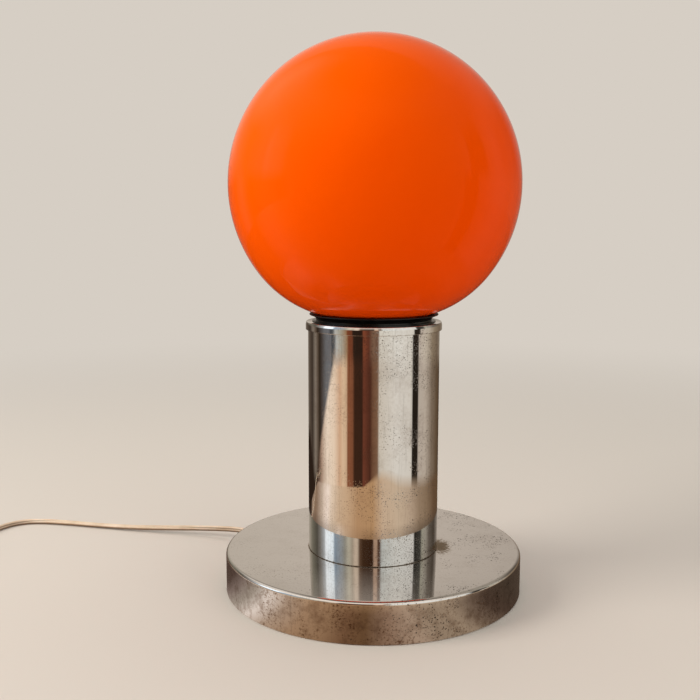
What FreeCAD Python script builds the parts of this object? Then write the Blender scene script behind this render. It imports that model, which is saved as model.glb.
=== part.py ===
import FreeCAD
import Part
import math
import os

# Glass globe table lamp. Millimetres, +Z up, origin at the middle of the felt's underside.
# The lamp's front is -Y. The cord leaves the base at the back left.

# Driving sizes of the lamp
GLOBE_R = 100.0
GLASS_WALL = 3.0
UNDERSIDE_R = 80.0        # tighter curve of the glass between the ball and its neck
UNDERSIDE_JOIN_R = 80.0   # radius from the axis where the two curves meet
NECK_R = 37.6
TUBE_R = 46.0
TUBE_WALL = 1.5
BASE_R = 105.0
BASE_TOP_Z = 28.0
BASE_EDGE_R = 3.0
BASE_WALL = 1.2
COLLAR_SKIRT = 1.6        # how far the collar stands proud of the tube
COLLAR_TOP_Z = 190.5
COLLAR_HEIGHT = 5.5
COLLAR_WALL = 1.5
ROD_R = 5.0
ROD_BORE_R = 3.3
BULB_R = 30.0
COLLAR_R = TUBE_R + COLLAR_SKIRT

# Clearances and fits
SLIP = 0.2                # parts that are dropped in
SNUG = 0.1                # located parts of one body
ROOT = 0.06               # how far a thread's middle line lies inside its wall

# Glass on its seat: the ball's middle follows from where the underside meets the gasket
NECK_BOTTOM_Z = COLLAR_TOP_Z - 11.9
SHOULDER_OUT = 3.4        # how far outside the neck the shoulder's fillet starts
SHOULDER_RISE = 5.5066    # the shoulder above the collar's top
_sine = UNDERSIDE_JOIN_R / GLOBE_R
_shift = GLOBE_R - UNDERSIDE_R
GLOBE_CENTRE_Z = (COLLAR_TOP_Z + SHOULDER_RISE + _shift * math.sqrt(1 - _sine ** 2)
                  + math.sqrt(UNDERSIDE_R ** 2 - (NECK_R + SHOULDER_OUT - _shift * _sine) ** 2))

# Threads: the glass in its gallery, and the bulb in its lampholder
GLASS_PITCH = 6.0
BULB_PITCH = 3.629

# Base stack
FELT = 1.5
PLATE = 1.2
BALLAST_R = 85.0
BALLAST_H = 10.0
POST_R = 70.0             # where the three plate posts stand

# Gallery and gasket
GALLERY_WALL = 2.4
NECK_ROOM = 1.8           # between the neck and the gallery's wall, for the threads
GALLERY_R = NECK_R + NECK_ROOM + GALLERY_WALL
GALLERY_FLOOR = 2.5
GALLERY_DROP = 18.0       # the gallery's underside below the collar's top
GALLERY_BOTTOM_Z = COLLAR_TOP_Z - GALLERY_DROP
GALLERY_LEDGE_R = GALLERY_R + 1.3
GALLERY_LEDGE = 0.6       # thickness of the ledge on the collar
GALLERY_RIM_R = GALLERY_R - 1.4
GALLERY_TOP_Z = COLLAR_TOP_Z + 1.6
GASKET_R = NECK_R + 7.4

# Lampholder
HOLDER_R = 19.5
HOLDER_WALL = 1.9
NUT_STACK = 5.2           # washer, nut and slip under the lampholder
HOLDER_BOTTOM_Z = GALLERY_BOTTOM_Z + GALLERY_FLOOR + NUT_STACK
DOME_TOP_Z = HOLDER_BOTTOM_Z + 16.8
INSERT_TOP_Z = DOME_TOP_Z + 9.0
SLEEVE_TOP_Z = INSERT_TOP_Z + 26.0
SHELL_R = 13.7            # inside of the screw shell
BULB_CAP_R = 12.1
BULB_TIP_Z = INSERT_TOP_Z + 3.3

# Mains cord and what is on it
CORD_R = 2.2
EXIT_ANGLE = 141.0        # degrees from +X, where the cord leaves the base
EXIT_Z = 9.0
RELIEF_LENGTH = 20.0      # the strain relief outside the shell
RELIEF_END = BASE_R + RELIEF_LENGTH
SWITCH_SIZE = (62.0, 25.0, 17.0)
ROCKER_TILT = 7.0
COIL_MID_R = 26.4
TURN_GAP = 0.5            # between the coil's turns
COIL_PITCH = 2 * CORD_R + TURN_GAP
COIL_TURNS = 3.25         # in each of the two layers
COIL_LIFT = CORD_R + 0.8
LAYER_STEP = 2 * CORD_R + TURN_GAP
PLUG_SIZE = (32.0, 35.0, 15.8)

nodes = {}


def vec(x, y, z=0.0):
    return FreeCAD.Vector(x, y, z)


def keep(name, shape):
    """Files a finished sub-part under its node name."""
    nodes[name] = shape


def tube_ring(r_in, r_out, z0, z1):
    """A straight ring, or a disc where r_in is 0."""
    ring = Part.makeCylinder(r_out, z1 - z0, vec(0, 0, z0))
    if r_in > 0:
        ring = ring.cut(Part.makeCylinder(r_in, z1 - z0 + 2, vec(0, 0, z0 - 1)))
    return ring


def turned(steps):
    """Turns an outline of (r, z) points about Z. A step of two points is an arc's middle and end."""
    edges = []
    first = vec(steps[0][0], 0, steps[0][1])
    here = first
    for step in steps[1:] + [steps[0]]:
        if isinstance(step[0], tuple):
            middle = vec(step[0][0], 0, step[0][1])
            there = vec(step[1][0], 0, step[1][1])
            edges.append(Part.Arc(here, middle, there).toShape())
        else:
            there = vec(step[0], 0, step[1])
            if (there - here).Length < 1e-6:
                continue
            edges.append(Part.LineSegment(here, there).toShape())
        here = there
    face = Part.Face(Part.Wire(edges))
    return face.revolve(vec(0, 0, 0), vec(0, 0, 1), 360)


def on_circle(centre, radius, angle):
    """A point of the outline on a circle, its angle in degrees up from the outward direction."""
    a = math.radians(angle)
    return (centre[0] + radius * math.cos(a), centre[1] + radius * math.sin(a))


def bead(radius, section, pitch, z0, turns):
    """A moulded or rolled thread: a round bead along a helix that starts beside the seam of the wall."""
    path = Part.makeHelix(pitch, pitch * turns, radius)
    path.translate(vec(0, 0, z0))
    rise = pitch / (2 * math.pi)
    disc = Part.Circle(vec(radius, 0, z0), vec(0, radius, rise), section)
    ridge = Part.Wire(path.Edges).makePipeShell([Part.Wire(disc.toShape())], True, True)
    ridge.rotate(vec(0, 0, 0), vec(0, 0, 1), 40)
    return ridge


def place(shape, at, angle):
    """Turns a piece made along +X about Z and moves it to its place."""
    moved = shape.copy()
    moved.rotate(vec(0, 0, 0), vec(0, 0, 1), angle)
    moved.translate(at)
    return moved


def cone(r0, r1, x0, x1):
    return Part.makeCone(r0, r1, x1 - x0, vec(x0, 0, 0), vec(1, 0, 0))


def rod(r, x0, x1):
    return Part.makeCylinder(r, x1 - x0, vec(x0, 0, 0), vec(1, 0, 0))


def hexagon(across_flats, z0, z1, hole_r):
    """A hexagon nut about Z."""
    r = across_flats / math.sqrt(3)
    corners = [vec(r * math.cos(k * math.pi / 3), r * math.sin(k * math.pi / 3), z0) for k in range(7)]
    nut = Part.Face(Part.makePolygon(corners)).extrude(vec(0, 0, z1 - z0))
    return nut.cut(Part.makeCylinder(hole_r, z1 - z0 + 2, vec(0, 0, z0 - 1)))


def three(shape_at):
    """Three equal pieces at 120 degrees, clear of the cord's angle."""
    return [shape_at(math.radians(EXIT_ANGLE + 60 + 120 * k)) for k in range(3)]


def slab(length, width, z0, z1, x0=0.0, corner=2.0):
    """A block along +X with rounded upright corners."""
    box = Part.makeBox(length, width, z1 - z0, vec(x0, -width / 2, z0))
    upright = [e for e in box.Edges if abs(e.tangentAt(e.FirstParameter).z) > 0.9]
    return box.makeFillet(corner, upright)


# Routes: straight runs joined by tangent arcs

def rounded_route(points, name):
    """A route through points, each corner an arc as large as its two runs allow."""
    edges = []
    here = points[0]
    radii = []
    for k in range(1, len(points) - 1):
        back = points[k - 1] - points[k]
        ahead = points[k + 1] - points[k]
        turn = math.pi - back.getAngle(ahead)
        cut = 0.45 * min(back.Length, ahead.Length)
        radii.append(cut / math.tan(turn / 2))
        start = points[k] + back.normalize() * cut
        end = points[k] + ahead.normalize() * cut
        inward = (back + ahead).normalize()
        middle = points[k] + inward * (radii[-1] / math.cos(turn / 2) - radii[-1])
        edges.append(Part.LineSegment(here, start).toShape())
        edges.append(Part.Arc(start, middle, end).toShape())
        here = end
    edges.append(Part.LineSegment(here, points[-1]).toShape())
    wire = Part.Wire(edges)
    print(name, "length", round(wire.Length, 1), "least radius", round(min(radii), 1))
    return wire


def along(wire, r, start, direction):
    """A round tube along a wire that starts at a point in a direction."""
    disc = Part.Circle(start, direction, r)
    tube = wire.makePipeShell([Part.Wire(disc.toShape())], True, False)
    share = tube.Volume / (math.pi * r * r * wire.Length)
    print("volume over section times length", round(share, 4))
    return tube


def cord_tube(points, name):
    wire = rounded_route(points, name)
    return along(wire, CORD_R, points[0], points[1] - points[0])


def arc_to(p, t, q):
    """The arc that leaves p along t and ends at q."""
    chord = q - p
    unit = chord * (1 / chord.Length)
    side = t - unit * t.dot(unit)
    side.normalize()
    half = t.getAngle(chord)
    middle = (p + q) * 0.5 + side * (chord.Length / 2 * math.tan(half / 2))
    return Part.Arc(p, middle, q).toShape()


def biarc(p, t, q, u):
    """Two tangent arcs from p along t to q along u."""
    v = q - p
    s = t + u
    a = 2 * (t.dot(u) - 1)
    b = -2 * v.dot(s)
    c = v.dot(v)
    d = (-b - math.sqrt(b * b - 4 * a * c)) / (2 * a)
    joint = (p + q + (t - u) * d) * 0.5
    first = arc_to(p, t, joint)
    second = arc_to(q, u * -1, joint)
    return [first, second]


# Base

def base_shell():
    """Drawn steel cap with a rounded top edge, a hole for the rod and one for the cord."""
    r = BASE_R
    e = BASE_EDGE_R
    w = BASE_WALL
    top = BASE_TOP_Z
    mid = math.sqrt(0.5)
    shell = turned([
        (r - w, 0.6), (r, 0.6), (r, top - e),
        ((r - e + e * mid, top - e + e * mid), (r - e, top)),
        (ROD_R + SLIP, top), (ROD_R + SLIP, top - w), (r - e, top - w),
        ((r - e + (e - w) * mid, top - e + (e - w) * mid), (r - w, top - e)),
    ])
    hole = rod(4.55, BASE_R - 8, BASE_R + 4)
    return shell.cut(place(hole, vec(0, 0, EXIT_Z), EXIT_ANGLE))


def ballast():
    """Cast iron weight under the top of the shell, with tapped holes for the posts."""
    top = BASE_TOP_Z - BASE_WALL
    disc = tube_ring(ROD_R + SLIP, BALLAST_R, top - BALLAST_H, top)
    edge = [e for e in disc.Edges if e.BoundBox.XMax > BALLAST_R - 1 and e.BoundBox.ZMax < top - 1]
    disc = disc.makeFillet(2.0, edge)
    for hole in three(lambda a: Part.makeCylinder(2.0, 6.0, vec(POST_R * math.cos(a),
                                                                POST_R * math.sin(a),
                                                                top - BALLAST_H - 1))):
        disc = disc.cut(hole)
    return disc


def posts():
    """Three brass standoffs between the weight and the bottom plate, tapped from below."""
    low = FELT + PLATE
    high = BASE_TOP_Z - BASE_WALL - BALLAST_H

    def post(a):
        at = vec(POST_R * math.cos(a), POST_R * math.sin(a), 0)
        body = hexagon(8.0, low, high, 1.5)
        body.translate(at)
        body = body.fuse(Part.makeCylinder(2.0, 9.0, at + vec(0, 0, high - 4.0)))
        return body.cut(Part.makeCylinder(1.5, 8.0, at + vec(0, 0, low - 1)))

    return Part.Compound(three(post))


def plate_screws():
    """Three pan screws from below, their heads in holes of the felt."""

    def screw(a):
        at = vec(POST_R * math.cos(a), POST_R * math.sin(a), 0)
        head = Part.makeCylinder(3.2, 1.2, at + vec(0, 0, FELT - 1.2))
        shank = Part.makeCylinder(1.5, 6.5, at + vec(0, 0, FELT - 0.2))
        return head.fuse(shank)

    return Part.Compound(three(screw))


def pierced_disc(r, z0, z1, hole_r):
    disc = tube_ring(0, r, z0, z1)
    for hole in three(lambda a: Part.makeCylinder(hole_r, 6.0, vec(POST_R * math.cos(a),
                                                                   POST_R * math.sin(a), z0 - 1))):
        disc = disc.cut(hole)
    return disc


def cord_clamp():
    """Nylon grip screwed under the weight. The cord passes through it."""
    under = BASE_TOP_Z - BASE_WALL - BALLAST_H
    block = slab(12.0, 22.0, 5.6, under, x0=56.0)
    block = block.cut(Part.makeCylinder(CORD_R, 20, vec(52, 0, EXIT_Z), vec(1, 0, 0)))
    block = block.cut(Part.makeCylinder(1.5, 20, vec(62, 7, 0)))
    return place(block, vec(0, 0, 0), EXIT_ANGLE)


def clamp_screw():
    head = Part.makeCylinder(3.0, 1.8, vec(62, 7, 3.8))
    shank = Part.makeCylinder(1.5, BASE_TOP_Z - BASE_WALL - BALLAST_H - 5.6, vec(62, 7, 5.6))
    return place(head.fuse(shank), vec(0, 0, 0), EXIT_ANGLE)


def strain_relief():
    """Moulded sleeve snapped into the shell: inner flange, neck and a long taper."""
    inside = BASE_R - BASE_WALL
    piece = rod(6.0, inside - 2.4, inside - 0.2)
    piece = piece.fuse(rod(4.5, inside - 1.0, BASE_R + 0.5))
    piece = piece.fuse(rod(6.0, BASE_R, BASE_R + 2.0))
    piece = piece.fuse(cone(4.4, CORD_R + 0.5, BASE_R + 2.0, RELIEF_END))
    for k in range(5):
        x = BASE_R + 4.0 + 3.1 * k
        piece = piece.cut(rod(9.0, x, x + 1.1).cut(rod(3.5 - 0.16 * k, x - 1, x + 3)))
    return place(piece, vec(0, 0, EXIT_Z), EXIT_ANGLE)


def inner_cord():
    """The sheathed cord from the strain relief through the clamp."""
    start = BASE_R - BASE_WALL - 2.4
    return place(rod(CORD_R, 52.0, start), vec(0, 0, EXIT_Z), EXIT_ANGLE)


def conductors():
    """Two insulated wires from the sheath, up the hollow rod and out to the terminals."""
    wires = []
    for side in (-1, 1):
        y = 1.25 * side
        low = EXIT_Z - 2.4
        points = [vec(52, y, EXIT_Z), vec(44, y, EXIT_Z), vec(32, y, low), vec(16, y, low),
                  vec(0, y, low), vec(0, y, 60), vec(0, y, DOME_TOP_Z - 6.7), vec(0, 6.2 * side, DOME_TOP_Z - 6.7)]
        edges = []
        here = points[0]
        for k in range(1, len(points) - 1):
            back = points[k - 1] - points[k]
            ahead = points[k + 1] - points[k]
            turn = math.pi - back.getAngle(ahead)
            if turn < 1e-6:
                continue
            reach = min(5.5 if k == 4 else 2.6, 0.45 * back.Length, 0.45 * ahead.Length)
            start = points[k] + back.normalize() * reach
            end = points[k] + ahead.normalize() * reach
            radius = reach / math.tan(turn / 2)
            middle = points[k] + (back + ahead).normalize() * (radius / math.cos(turn / 2) - radius)
            edges.append(Part.LineSegment(here, start).toShape())
            edges.append(Part.Arc(start, middle, end).toShape())
            here = end
        edges.append(Part.LineSegment(here, points[-1]).toShape())
        wires.append(along(Part.Wire(edges), 1.0, points[0], points[1] - points[0]))
    return place(Part.Compound(wires), vec(0, 0, 0), EXIT_ANGLE)


# Column

def collar():
    """Chromed cap ring: a skirt over the tube's end and a flange with a round opening."""
    low = COLLAR_TOP_Z - COLLAR_HEIGHT
    flange = COLLAR_TOP_Z - COLLAR_WALL
    e = 0.8
    return turned([
        (TUBE_R + 0.02, low), (COLLAR_R, low), (COLLAR_R, COLLAR_TOP_Z - e),
        (on_circle((COLLAR_R - e, COLLAR_TOP_Z - e), e, 45), (COLLAR_R - e, COLLAR_TOP_Z)),
        (GALLERY_R + SLIP, COLLAR_TOP_Z), (GALLERY_R + SLIP, flange), (TUBE_R + 0.02, flange),
    ])


def column_foot():
    """Pressed steel cup that centres the tube's lower end on the base."""
    r = TUBE_R - TUBE_WALL - SNUG
    z = BASE_TOP_Z
    return turned([
        (ROD_R + SLIP, z), (r, z), (r, z + 8), (r - 1.5, z + 8), (r - 1.5, z + 1.5),
        (ROD_R + SLIP, z + 1.5),
    ])


# Gallery, gasket and globe

def gallery():
    """Black moulded cup that hangs in the collar and takes the glass neck in its thread."""
    r = GALLERY_R
    inner = GALLERY_R - GALLERY_WALL
    z = GALLERY_BOTTOM_Z
    cup = turned([
        (ROD_R + SLIP, z), (r - 2, z), (on_circle((r - 2, z + 2), 2, -45), (r, z + 2)),
        (r, COLLAR_TOP_Z), (GALLERY_LEDGE_R, COLLAR_TOP_Z), (GALLERY_LEDGE_R, COLLAR_TOP_Z + GALLERY_LEDGE),
        (GALLERY_RIM_R, COLLAR_TOP_Z + GALLERY_LEDGE), (GALLERY_RIM_R, GALLERY_TOP_Z), (inner, GALLERY_TOP_Z),
        (inner, z + GALLERY_FLOOR), (ROD_R + SLIP, z + GALLERY_FLOOR),
    ])
    return cup.fuse(bead(inner + ROOT, 1.1, GLASS_PITCH, NECK_BOTTOM_Z + 4.4, 1.0))


def gasket():
    """Rubber ring under the glass with a thin lip that flares out and up."""
    z = GALLERY_TOP_Z + 0.1
    inner = NECK_R + 0.7
    return turned([
        (inner, z), (GALLERY_RIM_R, z), (GALLERY_RIM_R + 0.4, z + 1.0), (GASKET_R - 2.6, z + 2.0),
        (GASKET_R, z + 3.0), (GASKET_R - 0.1, z + 3.6), (GASKET_R - 1.2, z + 3.6),
        (NECK_R + SHOULDER_OUT, z + 3.35), ((NECK_R + 1.45, z + 2.85), (inner, z + 1.9)),
    ])


def globe_outline(offset):
    """The centre and radii of the ball and the tighter underside, for one face of the glass."""
    sine = UNDERSIDE_JOIN_R / GLOBE_R
    cosine = math.sqrt(1 - sine * sine)
    shift = GLOBE_R - UNDERSIDE_R
    centre = (shift * sine, GLOBE_CENTRE_Z - shift * cosine)
    big = GLOBE_R - offset
    join = (big * sine, GLOBE_CENTRE_Z - big * cosine)
    return big, join, centre, UNDERSIDE_R - offset


def underside_point(centre, radius, r):
    """Where the underside curve is r from the axis."""
    return (r, centre[1] - math.sqrt(radius ** 2 - (r - centre[0]) ** 2))


def globe_halves():
    """Blown ball with a straight screw neck, fire polished at its mouth: one glass, filed as ball and neck."""
    big, join, centre, small = globe_outline(0)
    in_big, in_join, _, in_small = globe_outline(GLASS_WALL)
    axis = (0, GLOBE_CENTRE_Z)
    shoulder = underside_point(centre, small, NECK_R + SHOULDER_OUT)
    in_shoulder = underside_point(centre, in_small, NECK_R + 1.2)
    inner = NECK_R - GLASS_WALL
    top_angle = math.degrees(math.asin((join[1] - GLOBE_CENTRE_Z) / big))
    half = (90 + top_angle) / 2
    lip = GLASS_WALL / 2
    ball = turned([
        (0, GLOBE_CENTRE_Z + big),
        (on_circle(axis, big, half), join),
        (underside_point(centre, small, (UNDERSIDE_JOIN_R + NECK_R + SHOULDER_OUT) / 2 + 1.5), shoulder),
        ((NECK_R + 0.95, shoulder[1] - 0.9), (NECK_R, shoulder[1] - 3.0)),
        (NECK_R, NECK_BOTTOM_Z),
        ((NECK_R - lip, NECK_BOTTOM_Z - lip), (inner, NECK_BOTTOM_Z)),
        (inner, shoulder[1] - 1.8),
        ((inner + 1.0, in_shoulder[1] - 1.5), in_shoulder),
        (underside_point(centre, in_small, (UNDERSIDE_JOIN_R + NECK_R) / 2 + 1.2), in_join),
        (on_circle(axis, in_big, half), (0, GLOBE_CENTRE_Z + in_big)),
    ])
    below = tube_ring(0, GLOBE_R, NECK_BOTTOM_Z - 10, shoulder[1] + 1.0)
    neck = ball.common(below).fuse(bead(NECK_R - ROOT, 1.0, GLASS_PITCH, NECK_BOTTOM_Z + 1.4, 1.0))
    return ball.cut(below), neck


# Lampholder

def holder_dome():
    """Black moulded cap screwed on the rod."""
    z = HOLDER_BOTTOM_Z
    r = HOLDER_R
    return turned([
        (ROD_R, z), (8.5, z), (8.5, z + 3.5),
        ((15.5, z + 5.6), (r, z + 10.5)), (r, DOME_TOP_Z), (r - HOLDER_WALL, DOME_TOP_Z),
        (r - HOLDER_WALL, z + 11.0), ((14.0, z + 7.4), (8.0, z + 6.3)), (ROD_R, z + 6.3),
    ])


def holder_insert():
    """Porcelain body clamped between the dome and the sleeve."""
    inner = HOLDER_R - HOLDER_WALL - SLIP
    return turned([
        (0, DOME_TOP_Z - 3), (inner, DOME_TOP_Z - 3), (inner, DOME_TOP_Z), (HOLDER_R, DOME_TOP_Z),
        (HOLDER_R, DOME_TOP_Z + 2), (SHELL_R + 2, DOME_TOP_Z + 2), (SHELL_R + 2, INSERT_TOP_Z),
        (0, INSERT_TOP_Z),
    ])


def screw_shell():
    """Rolled brass thread that takes the bulb."""
    body = turned([
        (SHELL_R - 2.5, INSERT_TOP_Z), (SHELL_R + 0.5, INSERT_TOP_Z), (SHELL_R + 0.5, SLEEVE_TOP_Z - 4),
        (SHELL_R, SLEEVE_TOP_Z - 4), (SHELL_R, INSERT_TOP_Z + 0.5), (SHELL_R - 2.5, INSERT_TOP_Z + 0.5),
    ])
    return body.fuse(bead(SHELL_R + ROOT, 0.9, BULB_PITCH, BULB_TIP_Z + 5.9 + BULB_PITCH / 2, 2.0))


def centre_contact():
    """Springy brass strip on the insert, its tip raised under the bulb."""
    z = INSERT_TOP_Z
    side = [vec(-7, -2.5, z), vec(-3, -2.5, z), vec(1.5, -2.5, z + 2.3), vec(4.5, -2.5, z + 2.3),
            vec(4.5, -2.5, z + 3.0), vec(1.0, -2.5, z + 3.0), vec(-3.4, -2.5, z + 0.7),
            vec(-7, -2.5, z + 0.7), vec(-7, -2.5, z)]
    return Part.Face(Part.makePolygon(side)).extrude(vec(0, 5, 0))


def terminals():
    """Two brass blocks under the insert, each with a wire hole."""
    blocks = []
    for side in (-1, 1):
        box = Part.makeBox(6, 5.6, 6, vec(-3, -2.8, DOME_TOP_Z - 9.0))
        box.translate(vec(0, 9.0 * side, 0))
        blocks.append(box)
    return place(Part.Compound(blocks), vec(0, 0, 0), EXIT_ANGLE)


def terminal_screws():
    """Two screws along X that clamp the wires."""
    screws = []
    for side in (-1, 1):
        head = Part.makeCylinder(2.2, 1.4, vec(3, 9.0 * side, DOME_TOP_Z - 5.5), vec(1, 0, 0))
        screws.append(head)
    return place(Part.Compound(screws), vec(0, 0, 0), EXIT_ANGLE)


# Bulb

def bulb_glass():
    """Frosted pear-shaped envelope, one millimetre thick."""

    def outline(offset):
        ball = (0, BULB_TIP_Z + 78.7)
        neck = BULB_CAP_R + 0.9 - offset
        start = BULB_TIP_Z + 30.7
        rise = ball[1] - start
        ball_r = BULB_R - offset
        waist = (ball_r ** 2 - neck ** 2 - rise ** 2) / (2 * (neck - ball_r))
        centre = (neck + waist, start)
        meet = math.degrees(math.atan2(ball[1] - start, -centre[0]))
        return ball, neck, start, ball_r, waist, centre, meet

    ball, neck, start, r, waist, centre, meet = outline(0)
    _, in_neck, _, in_r, in_waist, in_centre, in_meet = outline(1.0)
    low = BULB_TIP_Z + 22.2
    return turned([
        (in_neck, low), (neck, low), (neck, start),
        (on_circle(centre, waist, (180 + meet) / 2), on_circle(centre, waist, meet)),
        (on_circle(ball, r, (meet - 180 + 90) / 2), (0, ball[1] + r)),
        (0, ball[1] + in_r),
        (on_circle(ball, in_r, (in_meet - 180 + 90) / 2), on_circle(in_centre, in_waist, in_meet)),
        (on_circle(in_centre, in_waist, (180 + in_meet) / 2), (in_neck, start)),
    ])


def bulb_cap():
    """Rolled metal screw cap round the bulb's neck."""
    z = BULB_TIP_Z
    r = BULB_CAP_R
    body = turned([
        (8.0, z + 2.4), (r, z + 4.6), (r, z + 20.5), (r + 1.5, z + 22.2), (r + 1.5, z + 26.5),
        (r + 0.9, z + 26.5), (r + 0.9, z + 22.2), (r - 0.6, z + 20.7), (r - 0.6, z + 5.0),
        (8.0, z + 3.2),
    ])
    return body.fuse(bead(r - ROOT, 0.9, BULB_PITCH, z + 5.9, 2.0))


def bulb_insulator():
    z = BULB_TIP_Z
    return turned([(4.6, z + 0.6), (8.0, z + 2.4), (8.0, z + 3.2), (4.6, z + 1.8)])


def bulb_contact():
    z = BULB_TIP_Z
    return turned([(0, z), ((2.6, z + 0.15), (4.6, z + 0.6)), (4.6, z + 1.8), (0, z + 1.8)])


def bulb_stem():
    """Glass foot that closes the neck and carries the filament."""
    z = BULB_TIP_Z + 22.2
    r = BULB_CAP_R - 0.1
    return turned([
        (0, z), (r, z), (r, z + 1.2), ((5.0, z + 4.5), (2.6, z + 12)), (2.2, z + 34),
        (1.2, z + 36), (0, z + 36),
    ])


def filament():
    """Two leads and a bowed tungsten wire in one piece."""
    z = BULB_TIP_Z + 52.0
    points = [vec(-2.95, 0, z), vec(-12, 0, z + 14), vec(-6, 5, z + 17), vec(0, 7, z + 18),
              vec(6, 5, z + 17), vec(12, 0, z + 14), vec(2.95, 0, z)]
    wire = rounded_route(points, "filament")
    return along(wire, 0.35, points[0], points[1] - points[0])


# Cord pieces

def unit(angle):
    return vec(math.cos(math.radians(angle)), math.sin(math.radians(angle)))


SWITCH_ANGLE = math.degrees(math.atan2(-14.5, -4.5))
SWITCH_IN = vec(-341.5, 36.5, 7.0)
SWITCH_OUT = SWITCH_IN + unit(SWITCH_ANGLE) * SWITCH_SIZE[0]
COIL_OUTER_R = COIL_MID_R + COIL_TURNS * COIL_PITCH / 2
COIL_CENTRE = vec(-368.4 + COIL_OUTER_R, -91.4)
COIL_LOW_Z = COIL_LIFT
COIL_HIGH_Z = COIL_LIFT + LAYER_STEP
PLUG_ANGLE = math.degrees(math.atan2(-10.5, 1.8))
PLUG_IN = vec(-366.6, -118.0, COIL_HIGH_Z)

# The visible stretch, from the strain relief to the switch
LEAD_ROUTE = [
    unit(EXIT_ANGLE) * RELIEF_END + vec(0, 0, EXIT_Z),
    unit(EXIT_ANGLE) * (RELIEF_END + 12.3) + vec(0, 0, EXIT_Z),
    vec(-124.8, 92.9, 7.9), vec(-147.5, 98.7, 6.2), vec(-173.8, 103.4, 4.4),
    vec(-204.0, 108.5, 2.9), vec(-235.9, 115.4, 2.25), vec(-264.0, 121.5, 2.25),
    vec(-285.0, 124.8, 2.25), vec(-302.5, 122.8, 2.25), vec(-314.0, 111.5, 2.25),
    vec(-319.5, 97.0, 2.3), vec(-325.3, 81.5, 3.0), vec(-331.6, 66.0, 5.4),
    SWITCH_IN - unit(SWITCH_ANGLE) * 15.2, SWITCH_IN,
]

# From the switch to the coil
LINK_ROUTE = [
    SWITCH_OUT, SWITCH_OUT + unit(SWITCH_ANGLE) * 16.0, vec(-368.1, -55.0, 4.9),
    vec(-368.4, -71.0, COIL_LOW_Z), vec(-368.4, COIL_CENTRE.y + 2 * CORD_R, COIL_LOW_Z),
]

# From the coil to the plug
TAIL_ROUTE = [
    vec(-368.4, COIL_CENTRE.y - 2 * CORD_R, COIL_HIGH_Z), vec(-368.4, -107.3, COIL_HIGH_Z), PLUG_IN,
]


def coil_stations():
    """Points and directions of the coil each half turn: in along the table, up, and out again."""
    per_rad = COIL_PITCH / (2 * math.pi)
    inner_r = COIL_OUTER_R - COIL_TURNS * COIL_PITCH
    spiral = COIL_TURNS * 2 * math.pi
    climb = math.pi
    angles = [k * math.pi for k in range(int(COIL_TURNS * 2) + 1)]
    if spiral - angles[-1] > 0.1:
        angles.append(spiral)
    angles.append(spiral + climb / 2)
    back = [2 * spiral + climb - a for a in reversed(angles[:-1])]
    stations = []
    for a in angles + back:
        if a <= spiral + climb / 2:
            r = COIL_OUTER_R - per_rad * a
            slope = -per_rad
        else:
            r = COIL_OUTER_R - per_rad * (2 * spiral + climb - a)
            slope = per_rad
        z = COIL_LOW_Z
        rise = 0.0
        if a > spiral + 0.01:
            z = COIL_HIGH_Z
        if abs(a - spiral - climb / 2) < 0.01:
            z = (COIL_LOW_Z + COIL_HIGH_Z) / 2
            rise = LAYER_STEP / climb * 1.4
            slope = 0.0
        if a < 0.01 or a > 2 * spiral + climb - 0.01:
            slope = 0.0
        out = vec(math.cos(math.pi + a), math.sin(math.pi + a))
        side = vec(-out.y, out.x)
        point = COIL_CENTRE + out * r + vec(0, 0, z)
        stations.append((point, (out * slope + side * r + vec(0, 0, rise)).normalize()))
    return stations


def coil_wire():
    stations = coil_stations()
    lead = 2 * CORD_R
    start = stations[0][0] - stations[0][1] * lead
    end = stations[-1][0] + stations[-1][1] * lead
    edges = [Part.LineSegment(start, stations[0][0]).toShape()]
    for (p, t), (q, u) in zip(stations, stations[1:]):
        edges += biarc(p, t, q, u)
    edges.append(Part.LineSegment(stations[-1][0], end).toShape())
    return Part.Wire(Part.sortEdges(edges)[0]), start, stations[0][1]


def least_gap(wire):
    """The least distance between the coil's skins, on points along its middle line."""
    step = 1.5
    points = wire.discretize(int(wire.Length / step))
    skip = int(2.5 * 2 * CORD_R / step) + 1
    least = 1e9
    for i in range(len(points)):
        for j in range(i + skip, len(points)):
            least = min(least, (points[i] - points[j]).Length)
    return least - 2 * CORD_R


def cord_coil():
    wire, start, direction = coil_wire()
    print("coil length", round(wire.Length, 1), "least gap", round(least_gap(wire), 2))
    return along(wire, CORD_R, start, direction)


def coil_tie():
    """Soft strap round the bundle, its buckle on top."""
    inner = COIL_OUTER_R - (COIL_TURNS + 0.25) * COIL_PITCH - CORD_R - 0.5
    outer = COIL_OUTER_R + CORD_R + 0.3
    low = COIL_LOW_Z - CORD_R
    high = COIL_HIGH_Z + CORD_R + 0.2
    wall = 0.8
    block = Part.makeBox(outer - inner + 2 * wall, 6, high - low + 2 * wall,
                         vec(inner - wall, -3, low - wall))
    block = block.makeFillet(1.6, [e for e in block.Edges if abs(e.tangentAt(e.FirstParameter).y) > 0.9])
    hole = Part.makeBox(outer - inner, 8, high - low, vec(inner, -4, low))
    hole = hole.makeFillet(1.0, [e for e in hole.Edges if abs(e.tangentAt(e.FirstParameter).y) > 0.9])
    strap = block.cut(hole)
    middle = (inner + outer) / 2
    buckle = Part.makeBox(9, 8, 1.6, vec(middle - 4.5, -4, high + wall - 0.1))
    strap = strap.fuse(buckle.makeFillet(0.5, buckle.Edges))
    return place(strap, COIL_CENTRE, -35.0)


def switch_screw_rods():
    """Two screws at the ends of the switch, in its own frame."""
    length, _, height = SWITCH_SIZE
    return [Part.makeCylinder(1.1, height - 4.0, vec(x, 5.0, 0.4)) for x in (3.4, length - 3.4)]


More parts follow.
